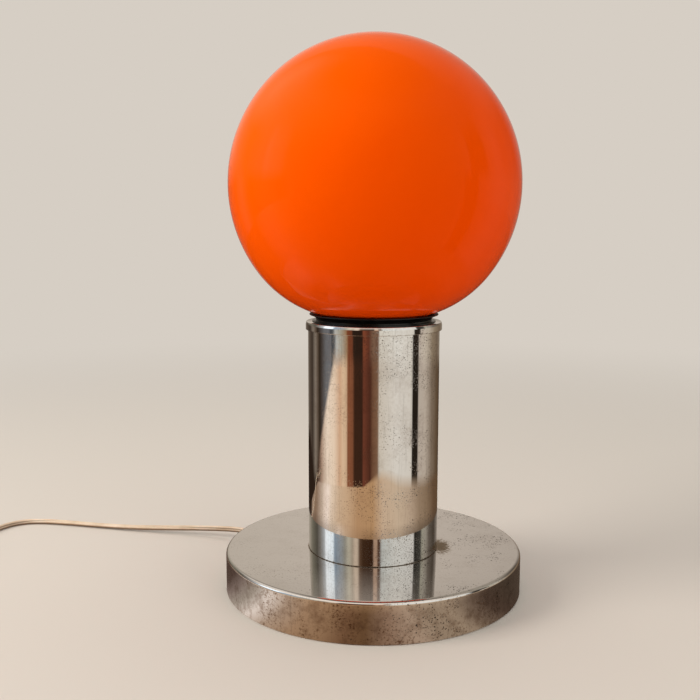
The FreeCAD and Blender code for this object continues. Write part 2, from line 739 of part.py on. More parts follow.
def switch_lower():
    """Lower half of the in-line switch, a tray with solid ends for the screws."""
    length, width, height = SWITCH_SIZE
    split = height / 2
    tray = slab(length, width, 0, split, corner=6.0)
    room = slab(length - 12, width - 3.6, 1.8, split + 1, x0=6.0, corner=3.0)
    for screw in switch_screw_rods():
        tray = tray.cut(screw)
    return place(tray.cut(room), vec(SWITCH_IN.x, SWITCH_IN.y, 0), SWITCH_ANGLE)


def switch_upper():
    """Upper half with the rocker's window and a softened top edge."""
    length, width, height = SWITCH_SIZE
    split = height / 2
    lid = slab(length, width, split, height, corner=6.0)
    rim = [e for e in lid.Edges if e.BoundBox.ZMin > height - 0.01]
    lid = lid.makeFillet(2.4, rim)
    room = slab(length - 12, width - 3.6, split - 1, height - 1.8, x0=6.0, corner=3.0)
    window = Part.makeBox(21.0, 11.6, 6, vec(length / 2 - 10.5, -5.8, height - 3))
    for screw in switch_screw_rods():
        lid = lid.cut(screw)
    return place(lid.cut(room).cut(window), vec(SWITCH_IN.x, SWITCH_IN.y, 0), SWITCH_ANGLE)


def rocker_pivot():
    length, _, height = SWITCH_SIZE
    return SWITCH_IN + unit(SWITCH_ANGLE) * (length / 2) + vec(0, 0, height - 4.0 - SWITCH_IN.z)


def switch_rocker():
    """Rocker key with two hollowed halves, tilted to its off side, and its trunnions."""
    high = 4.6
    key = Part.makeBox(19.0, 10.6, 7.4, vec(-9.5, -5.3, high - 7.4))
    for side in (-1, 1):
        dish = Part.makeCylinder(26.0, 14, vec(side * 6.6, -7, high + 25.1), vec(0, 1, 0))
        key = key.cut(dish)
    foot = Part.makeBox(30, 12, 10, vec(-15, -6, -14.0))
    key = key.cut(foot).fuse(Part.makeCylinder(1.4, 13.4, vec(0, -6.7, 0), vec(0, 1, 0)))
    key.rotate(vec(0, 0, 0), vec(0, 1, 0), -ROCKER_TILT)
    return place(key, rocker_pivot(), SWITCH_ANGLE)


def rocker_cradle():
    """Two brass posts in the tray that hold the trunnions and carry the contacts."""
    _, _, height = SWITCH_SIZE
    middle = SWITCH_SIZE[0] / 2
    posts_made = []
    for side in (-1, 1):
        post = Part.makeBox(5, 1.6, height - 1.8 - 2.2, vec(middle - 2.5, side * 7.3 - 0.8, 1.8))
        post = post.cut(Part.makeCylinder(1.45, 30, vec(middle, -15, height - 4.0), vec(0, 1, 0)))
        posts_made.append(post)
    return place(Part.Compound(posts_made), vec(SWITCH_IN.x, SWITCH_IN.y, 0), SWITCH_ANGLE)


def switch_screws():
    """Two screws from below that hold the halves together."""
    return place(Part.Compound(switch_screw_rods()), vec(SWITCH_IN.x, SWITCH_IN.y, 0), SWITCH_ANGLE)


def plug_body():
    """Flat two-pin plug with finger hollows and a ribbed strain relief."""
    length, width, height = PLUG_SIZE
    relief = 20.0
    half = height / 2
    taper = [vec(relief, -6.5, -half), vec(relief + length * 0.55, -width / 2, -half),
             vec(relief + length, -width / 2, -half), vec(relief + length, width / 2, -half),
             vec(relief + length * 0.55, width / 2, -half), vec(relief, 6.5, -half),
             vec(relief, -6.5, -half)]
    body = Part.Face(Part.makePolygon(taper)).extrude(vec(0, 0, height))
    body = body.makeFillet(2.4, body.Edges)
    for side in (-1, 1):
        body = body.cut(Part.makeCylinder(14.0, 30, vec(relief + 8.5, side * 23.5, -15)))
    sleeve = cone(CORD_R + 0.5, 4.6, 0, relief + 1.0)
    for k in range(4):
        x = 4.0 + 3.6 * k
        sleeve = sleeve.cut(rod(9.0, x, x + 1.3).cut(rod(CORD_R + 0.6 + 0.25 * k, x - 1, x + 3)))
    return place(body.fuse(sleeve), PLUG_IN, PLUG_ANGLE)


def plug_pins():
    """Two round pins, each sleeved for half its length, with a domed tip."""
    pins = []
    start = 20.0 + PLUG_SIZE[0]
    for side in (-1, 1):
        y = 9.3 * side
        pin = Part.makeCylinder(2.0, 17.6, vec(start, y, 0), vec(1, 0, 0))
        pin = pin.fuse(Part.makeCone(2.0, 1.1, 1.4, vec(start + 17.6, y, 0), vec(1, 0, 0)))
        pins.append(pin)
    return place(Part.Compound(pins), PLUG_IN, PLUG_ANGLE)


# Assembly, from the table up

def build():
    under_ballast = BASE_TOP_Z - BASE_WALL - BALLAST_H
    keep("felt_pad", pierced_disc(BASE_R - 5.0, 0, FELT, 4.4))
    keep("base_plate", pierced_disc(BASE_R - BASE_WALL - SNUG, FELT, FELT + PLATE, 1.5))
    keep("plate_screws", plate_screws())
    keep("plate_posts", posts())
    keep("base_shell", base_shell())
    keep("ballast", ballast())
    keep("strain_relief", strain_relief())
    keep("inner_cord", inner_cord())
    keep("cord_clamp", cord_clamp())
    keep("clamp_screw", clamp_screw())
    keep("rod_washers", Part.Compound([
        tube_ring(ROD_R + SLIP, 12.0, under_ballast - 1.4, under_ballast),
        tube_ring(ROD_R + SLIP, 12.0, GALLERY_BOTTOM_Z + GALLERY_FLOOR, GALLERY_BOTTOM_Z + GALLERY_FLOOR + 1.4),
    ]))
    keep("rod_nuts", Part.Compound([
        hexagon(14.0, under_ballast - 5.1, under_ballast - 1.4, ROD_R),
        hexagon(14.0, GALLERY_BOTTOM_Z + GALLERY_FLOOR + 1.4, HOLDER_BOTTOM_Z - 0.1, ROD_R),
    ]))
    keep("tie_rod", tube_ring(ROD_BORE_R, ROD_R, under_ballast - 6.0, HOLDER_BOTTOM_Z + 6.3))
    keep("conductors", conductors())
    keep("column_foot", column_foot())
    keep("column_tube", tube_ring(TUBE_R - TUBE_WALL, TUBE_R, BASE_TOP_Z, COLLAR_TOP_Z - COLLAR_WALL))
    keep("collar", collar())
    keep("gallery", gallery())
    keep("gasket", gasket())
    ball, neck = globe_halves()
    keep("globe_glass", ball)
    keep("globe_neck", neck)
    keep("holder_dome", holder_dome())
    keep("holder_insert", holder_insert())
    keep("holder_sleeve", tube_ring(HOLDER_R - HOLDER_WALL, HOLDER_R, DOME_TOP_Z + 2, SLEEVE_TOP_Z))
    keep("screw_shell", screw_shell())
    keep("centre_contact", centre_contact())
    keep("terminals", terminals())
    keep("terminal_screws", terminal_screws())
    keep("bulb_glass", bulb_glass())
    keep("bulb_cap", bulb_cap())
    keep("bulb_insulator", bulb_insulator())
    keep("bulb_contact", bulb_contact())
    keep("bulb_stem", bulb_stem())
    keep("filament", filament())
    keep("cord_lead", cord_tube(LEAD_ROUTE, "lead"))
    keep("switch_lower", switch_lower())
    keep("switch_upper", switch_upper())
    keep("switch_rocker", switch_rocker())
    keep("rocker_cradle", rocker_cradle())
    keep("switch_screws", switch_screws())
    keep("cord_link", cord_tube(LINK_ROUTE, "link"))
    keep("cord_coil", cord_coil())
    keep("coil_tie", coil_tie())
    keep("cord_tail", cord_tube(TAIL_ROUTE, "tail"))
    keep("plug_body", plug_body())
    keep("plug_pins", plug_pins())


build()
os.makedirs("parts", exist_ok=True)
for name, shape in nodes.items():
    box = shape.BoundBox
    print(name, "valid", shape.isValid(), "solids", len(shape.Solids), "volume", round(shape.Volume, 1),
          "z", round(box.ZMin, 2), round(box.ZMax, 2))
    shape.exportStep(os.path.join("parts", name + ".step"))
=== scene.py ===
import bpy
import bmesh
import math
import numpy as np
from mathutils import Matrix, Vector


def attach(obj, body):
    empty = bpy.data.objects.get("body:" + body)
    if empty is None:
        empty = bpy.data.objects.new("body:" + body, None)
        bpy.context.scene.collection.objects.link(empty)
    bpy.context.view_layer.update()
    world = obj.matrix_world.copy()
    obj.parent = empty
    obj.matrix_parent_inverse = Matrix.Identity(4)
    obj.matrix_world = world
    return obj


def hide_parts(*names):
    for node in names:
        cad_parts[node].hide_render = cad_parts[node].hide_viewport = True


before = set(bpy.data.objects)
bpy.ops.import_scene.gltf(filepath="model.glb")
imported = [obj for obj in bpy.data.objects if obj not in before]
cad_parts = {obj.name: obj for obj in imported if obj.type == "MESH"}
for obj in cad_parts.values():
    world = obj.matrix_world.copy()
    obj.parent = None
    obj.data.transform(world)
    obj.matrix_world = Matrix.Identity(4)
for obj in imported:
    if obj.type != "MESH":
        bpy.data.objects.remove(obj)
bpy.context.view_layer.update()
scene = bpy.context.scene

# Camera
# A 48 mm lens 0.65 m in front of the lamp, 28 mm below the height of the ball's middle,
# looking a little down and a little to the left, as the photograph was taken.

CAMERA_PLACE = (0.0, -0.6491, 0.25565)
LENS_MM = 47.9
DOWN, LEFT, ROLL = (math.radians(a) for a in (7.539, 1.468, 0.082))

lens = bpy.data.cameras.new("camera")
lens.lens = LENS_MM
lens.sensor_width = 36.0
lens.clip_start = 0.01
camera = bpy.data.objects.new("camera", lens)
scene.collection.objects.link(camera)
looking = Vector((-math.sin(LEFT) * math.cos(DOWN), math.cos(LEFT) * math.cos(DOWN), -math.sin(DOWN)))
across = Vector((math.cos(LEFT), math.sin(LEFT), 0))
upward = across.cross(looking)
across, upward = (across * math.cos(ROLL) + upward * math.sin(ROLL),
                  upward * math.cos(ROLL) - across * math.sin(ROLL))
turn = Matrix((across, upward, -looking)).transposed().to_4x4()
camera.matrix_world = Matrix.Translation(CAMERA_PLACE) @ turn
scene.camera = camera
scene.view_settings.view_transform = "Standard"

# Light and surroundings
# A plain pale studio, lit softly from the left. Chromium shows only what stands round it, so the
# metal sees upright panels, light and dark, and a warm ground that nothing else does.


def linear(code):
    """A colour written as sRGB hex, turned to linear: ((c + 0.055) / 1.055) to the power 2.4."""
    parts = [int(code[k:k + 2], 16) / 255 for k in (1, 3, 5)]
    return tuple(c / 12.92 if c <= 0.04045 else ((c + 0.055) / 1.055) ** 2.4 for c in parts) + (1.0,)


def blank(name, world=False):
    """A new material, or the world, with an empty node tree and its output node."""
    block = bpy.data.worlds.new(name) if world else bpy.data.materials.new(name)
    block.use_nodes = True
    tree = block.node_tree
    tree.nodes.clear()
    return block, tree, tree.nodes.new("ShaderNodeOutputWorld" if world else "ShaderNodeOutputMaterial")


def add(tree, kind, inputs=None, **settings):
    """Adds a node, sets its settings, and fills its inputs with values or with links from sockets."""
    node = tree.nodes.new("ShaderNode" + kind)
    for key, value in settings.items():
        setattr(node, key, value)
    for key, value in (inputs or {}).items():
        if isinstance(value, bpy.types.NodeSocket):
            tree.links.new(value, node.inputs[key])
        else:
            node.inputs[key].default_value = value
    return node


def ramp(tree, factor, stops):
    """A colour ramp with (position, hex colour) stops."""
    node = add(tree, "ValToRGB", {"Fac": factor})
    elements = node.color_ramp.elements
    while len(elements) > 1:
        elements.remove(elements[-1])
    elements[0].position, elements[0].color = stops[0][0], linear(stops[0][1])
    for place, colour in stops[1:]:
        elements.new(place).color = linear(colour)
    return node.outputs["Color"]


def mesh_object(name, verts, faces, smooth_angle=None):
    """A linked object from points and faces, with normals outward and doubles merged. Edges are
    sharp only past the smooth angle, in degrees, and flat faces stay flat without one."""
    mesh = bpy.data.meshes.new(name)
    mesh.from_pydata(np.asarray(verts, float).tolist(), [], faces)
    work = bmesh.new()
    work.from_mesh(mesh)
    bmesh.ops.remove_doubles(work, verts=work.verts, dist=1e-7)
    bmesh.ops.recalc_face_normals(work, faces=work.faces)
    work.to_mesh(mesh)
    work.free()
    if smooth_angle is not None:
        mesh.shade_smooth()
        mesh.set_sharp_from_angle(angle=math.radians(smooth_angle))
    piece = bpy.data.objects.new(name, mesh)
    scene.collection.objects.link(piece)
    return piece


def glossy_only(thing):
    """Shows in metal and glass, and nowhere else."""
    thing.visible_camera = False
    thing.visible_diffuse = False
    thing.visible_transmission = False
    thing.visible_shadow = False
    thing.visible_volume_scatter = False


WALL = "#D6CEC4"
SEEN_GAIN = 1.4                 # chromium gives back about two thirds of the light that falls on it
TWICE_GAIN = SEEN_GAIN * 1.35   # and after a second turn in it, about two thirds of that


def bearing_of(tree, place):
    """A share from 0 to 1 of the way round: (atan2(x, -y) + pi) / (2 pi), so that 0.5 is the front."""
    parts = add(tree, "SeparateXYZ", {0: place})
    front = add(tree, "Math", {0: parts.outputs["Y"], 1: -1.0}, operation="MULTIPLY")
    around = add(tree, "Math", {0: parts.outputs["X"], 1: front.outputs[0]}, operation="ARCTAN2")
    share = add(tree, "MapRange", {0: around.outputs[0], 1: -math.pi, 2: math.pi, 3: 0.0, 4: 1.0})
    return share.outputs[0], parts


def round_at(degrees):
    """Degrees from the front, negative to the left, as a share of the way round: (d + 180) / 360."""
    return (degrees + 180) / 360


def bands(stops):
    """Stops given in degrees from the front, turned to places along the ramp."""
    return [(round_at(degrees), colour) for degrees, colour in stops]


# The panels, from straight behind round by the left to the front and on by the right. LOW is what
# upright metal shows, FLOOR what it shows a little lower, and HIGH what it shows after two turns.
LOW_BANDS = bands([
    (-180, "#8C8478"), (-152, "#54483E"), (-134, "#3C322A"), (-122, "#807468"), (-114, "#5A4C40"),
    (-108, "#2C2218"), (-101, "#48403C"), (-90, "#68686A"), (-80, "#6C6C70"), (-76, "#424448"),
    (-71, "#5C5E60"), (-67, "#B4B4B0"), (-58, "#A8A496"), (-46, "#947454"), (-44.5, "#784028"),
    (-36, "#6C3C28"), (-35, "#2C2018"), (-19, "#2A1C15"), (-17, "#80452F"), (-8, "#5C3224"),
    (-1, "#7A5E4B"), (8, "#6E5242"), (9.5, "#D4CEC2"), (40, "#DCD8D0"), (70, "#D4CEC4"),
    (71.5, "#2A231C"), (83, "#2A221B"), (85, "#C0B4A8"), (102, "#C0B4A4"), (122, "#887864"),
    (144, "#6C5C4C"), (180, "#8C8478")])
FLOOR_BANDS = bands([
    (-180, "#241A14"), (-128, "#2C2018"), (-112, "#4A3428"), (-103, "#A88C78"), (-88, "#E8D4C0"),
    (-72, "#E4CCB4"), (-60, "#CCA484"), (-54, "#D8B898"), (-47, "#C8A888"), (-45, "#865238"),
    (-36, "#7C4C34"), (-33, "#3A2418"), (-19, "#382319"), (-17, "#6A3A2A"), (-5, "#4A2A1E"),
    (-1, "#6E4C38"), (8, "#7A5C46"), (9.5, "#C8BEB0"), (40, "#D6D0C7"), (70, "#CEC7BD"),
    (71.5, "#241E18"), (83, "#241E18"), (85, "#B4A89C"), (102, "#B4A799"), (122, "#7C6C5C"),
    (144, "#5C4A38"), (180, "#30241C")])
HIGH_BANDS = bands([
    (-180, "#A49A90"), (-152, "#90887C"), (-136, "#6C685C"), (-117, "#4E4A42"), (-106, "#787470"),
    (-95, "#A8ACB0"), (-91, "#ECF4FC"), (-74, "#E4F0FA"), (-71, "#8494A4"), (-58, "#8E949A"),
    (-50, "#8A8880"), (-43, "#B0AA9A"), (-36, "#9C9080"), (-31, "#BCAA98"), (-27, "#BCAA98"),
    (-23, "#5A4434"), (-17, "#3E2A1C"), (0, "#342014"), (2, "#A88C78"), (7, "#A88C78"), (9, "#4C3428"),
    (12.5, "#4C3428"), (14.5, "#BABEBC"), (40, "#C8C8C4"), (76, "#C2C0BC"), (78, "#262420"),
    (93, "#3E3C38"), (97, "#949184"), (106, "#948E84"), (118, "#605850"), (138, "#443C34"),
    (180, "#A49A90")])

# Where FLOOR gives way to LOW, as the sine of the angle below level. At the left this edge dips in
# a slant from 8 to 15 degrees and hooks up again to 12. The change is one degree wide.
EDGE_HIGH, EDGE_DEEP, EDGE_HOOK = 0.142, 0.262, 0.215
EDGE_SOFT = 0.008

studio, tree, out = blank("pale_studio", world=True)
rays = add(tree, "LightPath")
toward = add(tree, "TexCoord").outputs["Generated"]
share, parts = bearing_of(tree, toward)
slant = add(tree, "MapRange", {0: share, 1: round_at(-118), 2: round_at(-72), 3: EDGE_DEEP, 4: EDGE_HIGH})
hook = add(tree, "MapRange", {0: share, 1: round_at(-150), 2: round_at(-128), 3: EDGE_HOOK, 4: EDGE_DEEP})
edge = add(tree, "Math", {0: slant.outputs[0], 1: hook.outputs[0]}, operation="MINIMUM")
level = add(tree, "Math", {0: parts.outputs["Z"], 1: edge.outputs[0]})
level = add(tree, "MapRange", {0: level.outputs[0], 1: -EDGE_SOFT, 2: EDGE_SOFT, 3: 0.0, 4: 1.0})
around = add(tree, "Mix", {0: level.outputs[0], 6: ramp(tree, share, FLOOR_BANDS),
                           7: ramp(tree, share, LOW_BANDS)}, data_type="RGBA")
# Overhead it is bright in front and to the left, dark above, and middling behind: in every direction
# within 71 degrees of one that points nearly level, back and right. Heights are sines of the angle
# above level: HIGH takes over from 2 to 9 degrees, overhead from 22 to 37, the zenith from 53 to 72.
lofty = ramp(tree, share, bands([(-180, "#544E48"), (-152, "#5C564E"), (-132, "#B4ACA4"), (-60, "#D4CAC0"),
                                 (50, "#C8BEB4"), (90, "#8C847A"), (180, "#544E48")]))
zenith = add(tree, "MapRange", {0: parts.outputs["Z"], 1: 0.8, 2: 0.95, 3: 0.0, 4: 1.0})
lofty = add(tree, "Mix", {0: zenith.outputs[0], 6: lofty, 7: linear("#4C463F")}, data_type="RGBA")
behind = add(tree, "VectorMath", {0: toward, 1: (0.498, 0.862, -0.092)}, operation="DOT_PRODUCT")
behind = add(tree, "MapRange", {0: behind.outputs["Value"], 1: 0.312, 2: 0.334, 3: 0.0, 4: 1.0})
lofty = add(tree, "Mix", {0: behind.outputs[0], 6: lofty.outputs[2], 7: linear("#80786E")},
            data_type="RGBA")
overhead = add(tree, "MapRange", {0: parts.outputs["Z"], 1: 0.38, 2: 0.6, 3: 0.0, 4: 1.0})
above = add(tree, "Mix", {0: overhead.outputs[0], 6: ramp(tree, share, HIGH_BANDS), 7: lofty.outputs[2]},
            data_type="RGBA")
rise = add(tree, "MapRange", {0: parts.outputs["Z"], 1: 0.03, 2: 0.16, 3: 0.0, 4: 1.0})
seen = add(tree, "Background", {"Color": linear(WALL), "Strength": 1.0})
light = add(tree, "Background", {"Color": linear("#F2F0EC"), "Strength": 0.55})
mirrored = add(tree, "Background", {"Color": around.outputs[2], "Strength": SEEN_GAIN})
twice = add(tree, "Background", {"Color": above.outputs[2], "Strength": TWICE_GAIN})
pick = add(tree, "MixShader", {0: rise.outputs[0], 1: mirrored.outputs[0], 2: twice.outputs[0]})
pick = add(tree, "MixShader", {0: rays.outputs["Is Glossy Ray"], 1: light.outputs[0], 2: pick.outputs[0]})
pick = add(tree, "MixShader", {0: rays.outputs["Is Camera Ray"], 1: pick.outputs[0], 2: seen.outputs[0]})
tree.links.new(pick.outputs[0], out.inputs["Surface"])
scene.world = studio

# The floor: pale, matt and plain, and further off it passes into the wall's colour.
FLOOR = "#D6D0C8"
floor = mesh_object("pale_floor", [(-9, -9, 0), (9, -9, 0), (9, 9, 0), (-9, 9, 0)], [(0, 1, 2, 3)])
paint, tree, out = blank("pale_floor_paint")
place = add(tree, "TexCoord").outputs["Object"]
far = add(tree, "VectorMath", {0: place}, operation="LENGTH")
far = add(tree, "MapRange", {0: far.outputs["Value"], 1: 0.35, 2: 1.5, 3: 0.0, 4: 1.0},
          interpolation_type="SMOOTHSTEP")
fade = add(tree, "Math", {0: far.outputs[0], 1: add(tree, "LightPath").outputs["Is Camera Ray"]},
           operation="MULTIPLY")
coat = add(tree, "BsdfPrincipled", {"Base Color": linear(FLOOR), "Roughness": 0.7})
wall = add(tree, "Emission", {"Color": linear(WALL), "Strength": 1.0})
both = add(tree, "MixShader", {0: fade.outputs[0], 1: coat.outputs[0], 2: wall.outputs[0]})
tree.links.new(both.outputs[0], out.inputs["Surface"])
floor.data.materials.append(paint)
floor.visible_glossy = False

# The ground as the metal shows it, a disc just under the floor with a soft edge. It ends at a third
# of a metre, nearer at the left back and further off at the right front, shines where it faces the
# light, and is darker round the base, behind and to the right. Both lists run by degrees from the
# front: the edge's distance in metres, and the share of it at which the edge begins to fade.
GROUND_EDGE = [(-180, 0.22), (-131, 0.237), (-107, 0.326), (-40, 0.338), (-14, 0.344), (2, 0.385),
               (14, 0.412), (28, 0.405), (46, 0.384), (70, 0.37), (100, 0.36), (180, 0.33)]
GROUND_FADE = [(-180, 0.97), (-60, 0.985), (-10, 0.985), (10, 0.9), (40, 0.86), (100, 0.86), (180, 0.97)]
GROUND_Z = -0.0004
SPOKES = 144

way = np.linspace(-math.pi, math.pi, SPOKES + 1)[:-1]
reach = np.interp(np.degrees(way), *zip(*GROUND_EDGE))
fading = np.interp(np.degrees(way), *zip(*GROUND_FADE))
rings = np.concatenate([np.column_stack([r * np.sin(way), -r * np.cos(way), np.full(SPOKES, GROUND_Z)])
                        for r in (reach * fading, reach)])
inner = np.arange(SPOKES)
beside = (inner + 1) % SPOKES
quads = np.column_stack([inner, beside, beside + SPOKES, inner + SPOKES]).tolist()
ground_mesh = bpy.data.meshes.new("warm_ground_in_chrome")
ground_mesh.from_pydata(rings.tolist(), [], [tuple(range(SPOKES)), *quads])
cover = ground_mesh.attributes.new("cover", "FLOAT", "POINT")
cover.data.foreach_set("value", np.repeat([1.0, 0.0], SPOKES))
ground = bpy.data.objects.new("warm_ground_in_chrome", ground_mesh)
scene.collection.objects.link(ground)
GROUND_BANDS = bands([
    (-180, "#3C2B20"), (-158, "#2C2018"), (-131, "#2E2218"), (-127, "#A08875"), (-113, "#886E59"),
    (-107, "#957D6A"), (-100, "#AF9987"), (-94, "#C2AE9C"), (-88, "#E0CCBC"), (-80, "#F0DED0"),
    (-72, "#E0CAB4"), (-57, "#CAAD90"), (-42, "#C4A484"), (-24, "#B08A66"), (0, "#B08A64"),
    (16, "#C4AA90"), (40, "#C2AC94"), (62, "#B49E88"), (80, "#937D67"), (100, "#846E58"),
    (124, "#624B37"), (150, "#58432F"), (180, "#3C2B20")])
NEAR_BANDS = bands([
    (-180, "#4C4038"), (-98, "#4C3C34"), (-88, "#54443C"), (-78, "#7C6C64"), (-66, "#A09488"),
    (-55, "#E0D2C8"), (-44, "#B09884"), (-32, "#A08064"), (-20, "#907054"), (-12, "#74543C"),
    (-3, "#644830"), (7, "#8C705C"), (17, "#A48C78"), (27, "#94806C"), (38, "#988470"), (50, "#6C5A4C"),
    (61, "#4A3A30"), (80, "#44382E"), (180, "#4C4038")])
paint, tree, out = blank("warm_ground_glow")
place = add(tree, "TexCoord").outputs["Object"]
share, _ = bearing_of(tree, place)
near = add(tree, "VectorMath", {0: place}, operation="LENGTH")
near = add(tree, "MapRange", {0: near.outputs["Value"], 1: 0.16, 2: 0.22, 3: 0.0, 4: 1.0})
shade = add(tree, "Mix", {0: near.outputs[0], 6: ramp(tree, share, NEAR_BANDS),
                          7: ramp(tree, share, GROUND_BANDS)}, data_type="RGBA")
glow = add(tree, "Emission", {"Color": shade.outputs[2], "Strength": SEEN_GAIN})
cover = add(tree, "Attribute", attribute_name="cover").outputs["Fac"]
glow = add(tree, "MixShader", {0: cover, 1: add(tree, "BsdfTransparent").outputs[0], 2: glow.outputs[0]})
tree.links.new(glow.outputs[0], out.inputs["Surface"])
ground.data.materials.append(paint)
glossy_only(ground)


def soft_lamp(name, place, aim, size, watts, colour):
    """A square area lamp turned to a point, left out of reflections."""
    data = bpy.data.lights.new(name, "AREA")
    data.size = size
    data.energy = watts
    data.color = linear(colour)[:3]
    lamp = bpy.data.objects.new(name, data)
    scene.collection.objects.link(lamp)
    lamp.location = place
    lamp.rotation_euler = (Vector(aim) - Vector(place)).to_track_quat("-Z", "Y").to_euler()
    lamp.visible_glossy = False


soft_lamp("soft_left", (-1.7, -0.6, 1.05), (0, 0, 0.2), 1.1, 31.0, "#FFF6EC")
soft_lamp("ceiling", (0.2, 0.4, 1.9), (0, 0, 0.1), 1.6, 9.5, "#FFF8F0")
soft_lamp("front_fill", (1.2, -1.3, 0.4), (0, 0, 0.2), 1.2, 11.0, "#FAF6F0")

# Mains cord
# Flat twin flex in cream vinyl, extruded, gone a little yellow. It leaves the base at the back
# left and runs through an in-line switch to a plug; what the photograph leaves out is coiled.

CORD_D = 0.0044
CORE_SHARE = 0.66       # each of the flex's two cores, of its width
# The route is in millimetres, as the part's own is.
EXIT_ANGLE = math.radians(141.0)
EXIT_Z = 9.0
RELIEF_END = 125.0
SWITCH_IN = np.array([-341.5, 36.5, 7.0])
SWITCH_DIR = np.array([-4.5, -14.5, 0.0]) / math.hypot(4.5, 14.5)
SWITCH_LENGTH = 62.0
COIL_TURNS = 3.25
COIL_PITCH = 4.9
COIL_MEAN_R = 26.4
COIL_OUTER_R = COIL_MEAN_R + COIL_TURNS * COIL_PITCH / 2
COIL_SIDE_X, COIL_MIDDLE_Y = -368.4, -91.4
COIL_LOW, COIL_HIGH = 3.0, 7.9

leaving = np.array([math.cos(EXIT_ANGLE), math.sin(EXIT_ANGLE), 0.0])
height = np.array([0.0, 0.0, EXIT_Z])
SWITCH_OUT = SWITCH_IN + SWITCH_DIR * SWITCH_LENGTH

LEAD_ROUTE = [
    leaving * RELIEF_END + height, leaving * (RELIEF_END + 12.3) + height,
    (-124.8, 92.9, 7.9), (-147.5, 98.7, 6.2), (-173.8, 103.4, 4.4), (-204.0, 108.5, 2.9),
    (-235.9, 115.4, 2.25), (-264.0, 121.5, 2.25), (-285.0, 124.8, 2.25), (-302.5, 122.8, 2.25),
    (-314.0, 111.5, 2.25), (-319.5, 97.0, 2.3), (-325.3, 81.5, 3.0), (-331.6, 66.0, 5.4),
    SWITCH_IN - SWITCH_DIR * 15.2, SWITCH_IN,
]


def coil_route():
    """A point each 30 degrees: the radius falls by a pitch a turn to the middle and grows again one
    layer up, and half a turn between them climbs by the smooth step 3 c c - 2 c c c."""
    spiral = COIL_TURNS * 2 * math.pi
    whole = 2 * spiral + math.pi
    a = np.linspace(0, whole, int(round(whole / math.radians(30))) + 1)
    r = COIL_OUTER_R - COIL_PITCH / (2 * math.pi) * np.minimum(a, whole - a)
    climb = np.clip((a - spiral) / math.pi, 0, 1)
    z = COIL_LOW + (COIL_HIGH - COIL_LOW) * climb * climb * (3 - 2 * climb)
    return np.column_stack([COIL_SIDE_X + COIL_OUTER_R - r * np.cos(a), COIL_MIDDLE_Y - r * np.sin(a), z])


REST_ROUTE = [
    SWITCH_OUT, SWITCH_OUT + SWITCH_DIR * 16.0, (-368.1, -55.0, 4.9), (COIL_SIDE_X, -71.0, COIL_LOW),
    (COIL_SIDE_X, -87.0, COIL_LOW), *coil_route()[1:-1], (COIL_SIDE_X, -95.8, COIL_HIGH),
    (COIL_SIDE_X, -107.3, COIL_HIGH), (-366.6, -118.0, COIL_HIGH),
]


def spline_points(route, resolution):
    """Points in metres on the smooth NURBS line that a route in millimetres steers."""
    curve = bpy.data.curves.new("route", "CURVE")
    curve.dimensions = "3D"
    curve.resolution_u = resolution
    spline = curve.splines.new("NURBS")
    spline.points.add(len(route) - 1)
    for point, at in zip(spline.points, route):
        point.co = (*(float(c) / 1000 for c in at), 1.0)
    spline.order_u = 3
    spline.use_endpoint_u = True
    holder = bpy.data.objects.new("route", curve)
    scene.collection.objects.link(holder)
    bpy.context.view_layer.update()
    mesh = bpy.data.meshes.new_from_object(holder.evaluated_get(bpy.context.evaluated_depsgraph_get()))
    line = np.array([v.co[:] for v in mesh.vertices])
    bpy.data.objects.remove(holder)
    bpy.data.meshes.remove(mesh)
    return line


def carried(name, line, section, lean=0.0):
    """A section of (u, v) points carried along a line, ends closed. Each point is the line's plus
    sideways (u cos l - v sin l) plus up (u sin l + v cos l), where l is the lean in radians."""
    ahead = np.gradient(line, axis=0)
    ahead /= np.linalg.norm(ahead, axis=1)[:, None]
    sideways = np.cross(ahead, (0, 0, 1.0))
    sideways /= np.linalg.norm(sideways, axis=1)[:, None]
    up = np.cross(sideways, ahead)
    lean = np.broadcast_to(lean, len(line))[:, None, None]
    u, v = section[:, 0][None, :, None], section[:, 1][None, :, None]
    grid = (line[:, None, :] + sideways[:, None, :] * (u * np.cos(lean) - v * np.sin(lean))
            + up[:, None, :] * (u * np.sin(lean) + v * np.cos(lean)))
    rows, cols = grid.shape[:2]
    i, j = np.meshgrid(np.arange(rows - 1), np.arange(cols), indexing="ij")
    quads = np.stack([i * cols + j, i * cols + (j + 1) % cols, (i + 1) * cols + (j + 1) % cols,
                      (i + 1) * cols + j], -1).reshape(-1, 4)
    ends = [list(range(cols)), list(range((rows - 1) * cols, rows * cols))]
    return mesh_object(name, grid.reshape(-1, 3), quads.tolist() + ends, smooth_angle=50)


def twin_section(steps):
    """Two fused round cores. At an angle a the outline's radius is d |cos a| plus the root of
    c c - (d sin a) squared, for cores of radius c whose middles lie d to each side."""
    a = np.linspace(0, 2 * math.pi, steps, endpoint=False)
    core = CORE_SHARE * CORD_D / 2
    off = CORD_D / 2 - core
    radius = off * np.abs(np.cos(a)) + np.sqrt(core ** 2 - (off * np.sin(a)) ** 2)
    return np.column_stack([radius * np.cos(a), radius * np.sin(a)])


lead_line = spline_points(LEAD_ROUTE, resolution=8)
rest_line = spline_points(REST_ROUTE, resolution=6)
# The lead rolls as it lies, by half a radian either way; the coiled rest was wound up flat.
along = np.linspace(0, 1, len(lead_line))
rolling = 0.9 + 0.5 * np.sin(along * 11 + 0.6)
cord_lead = carried("cord_lead_vinyl", lead_line, twin_section(28), rolling)
cord_rest = carried("cord_rest_vinyl", rest_line, twin_section(28))

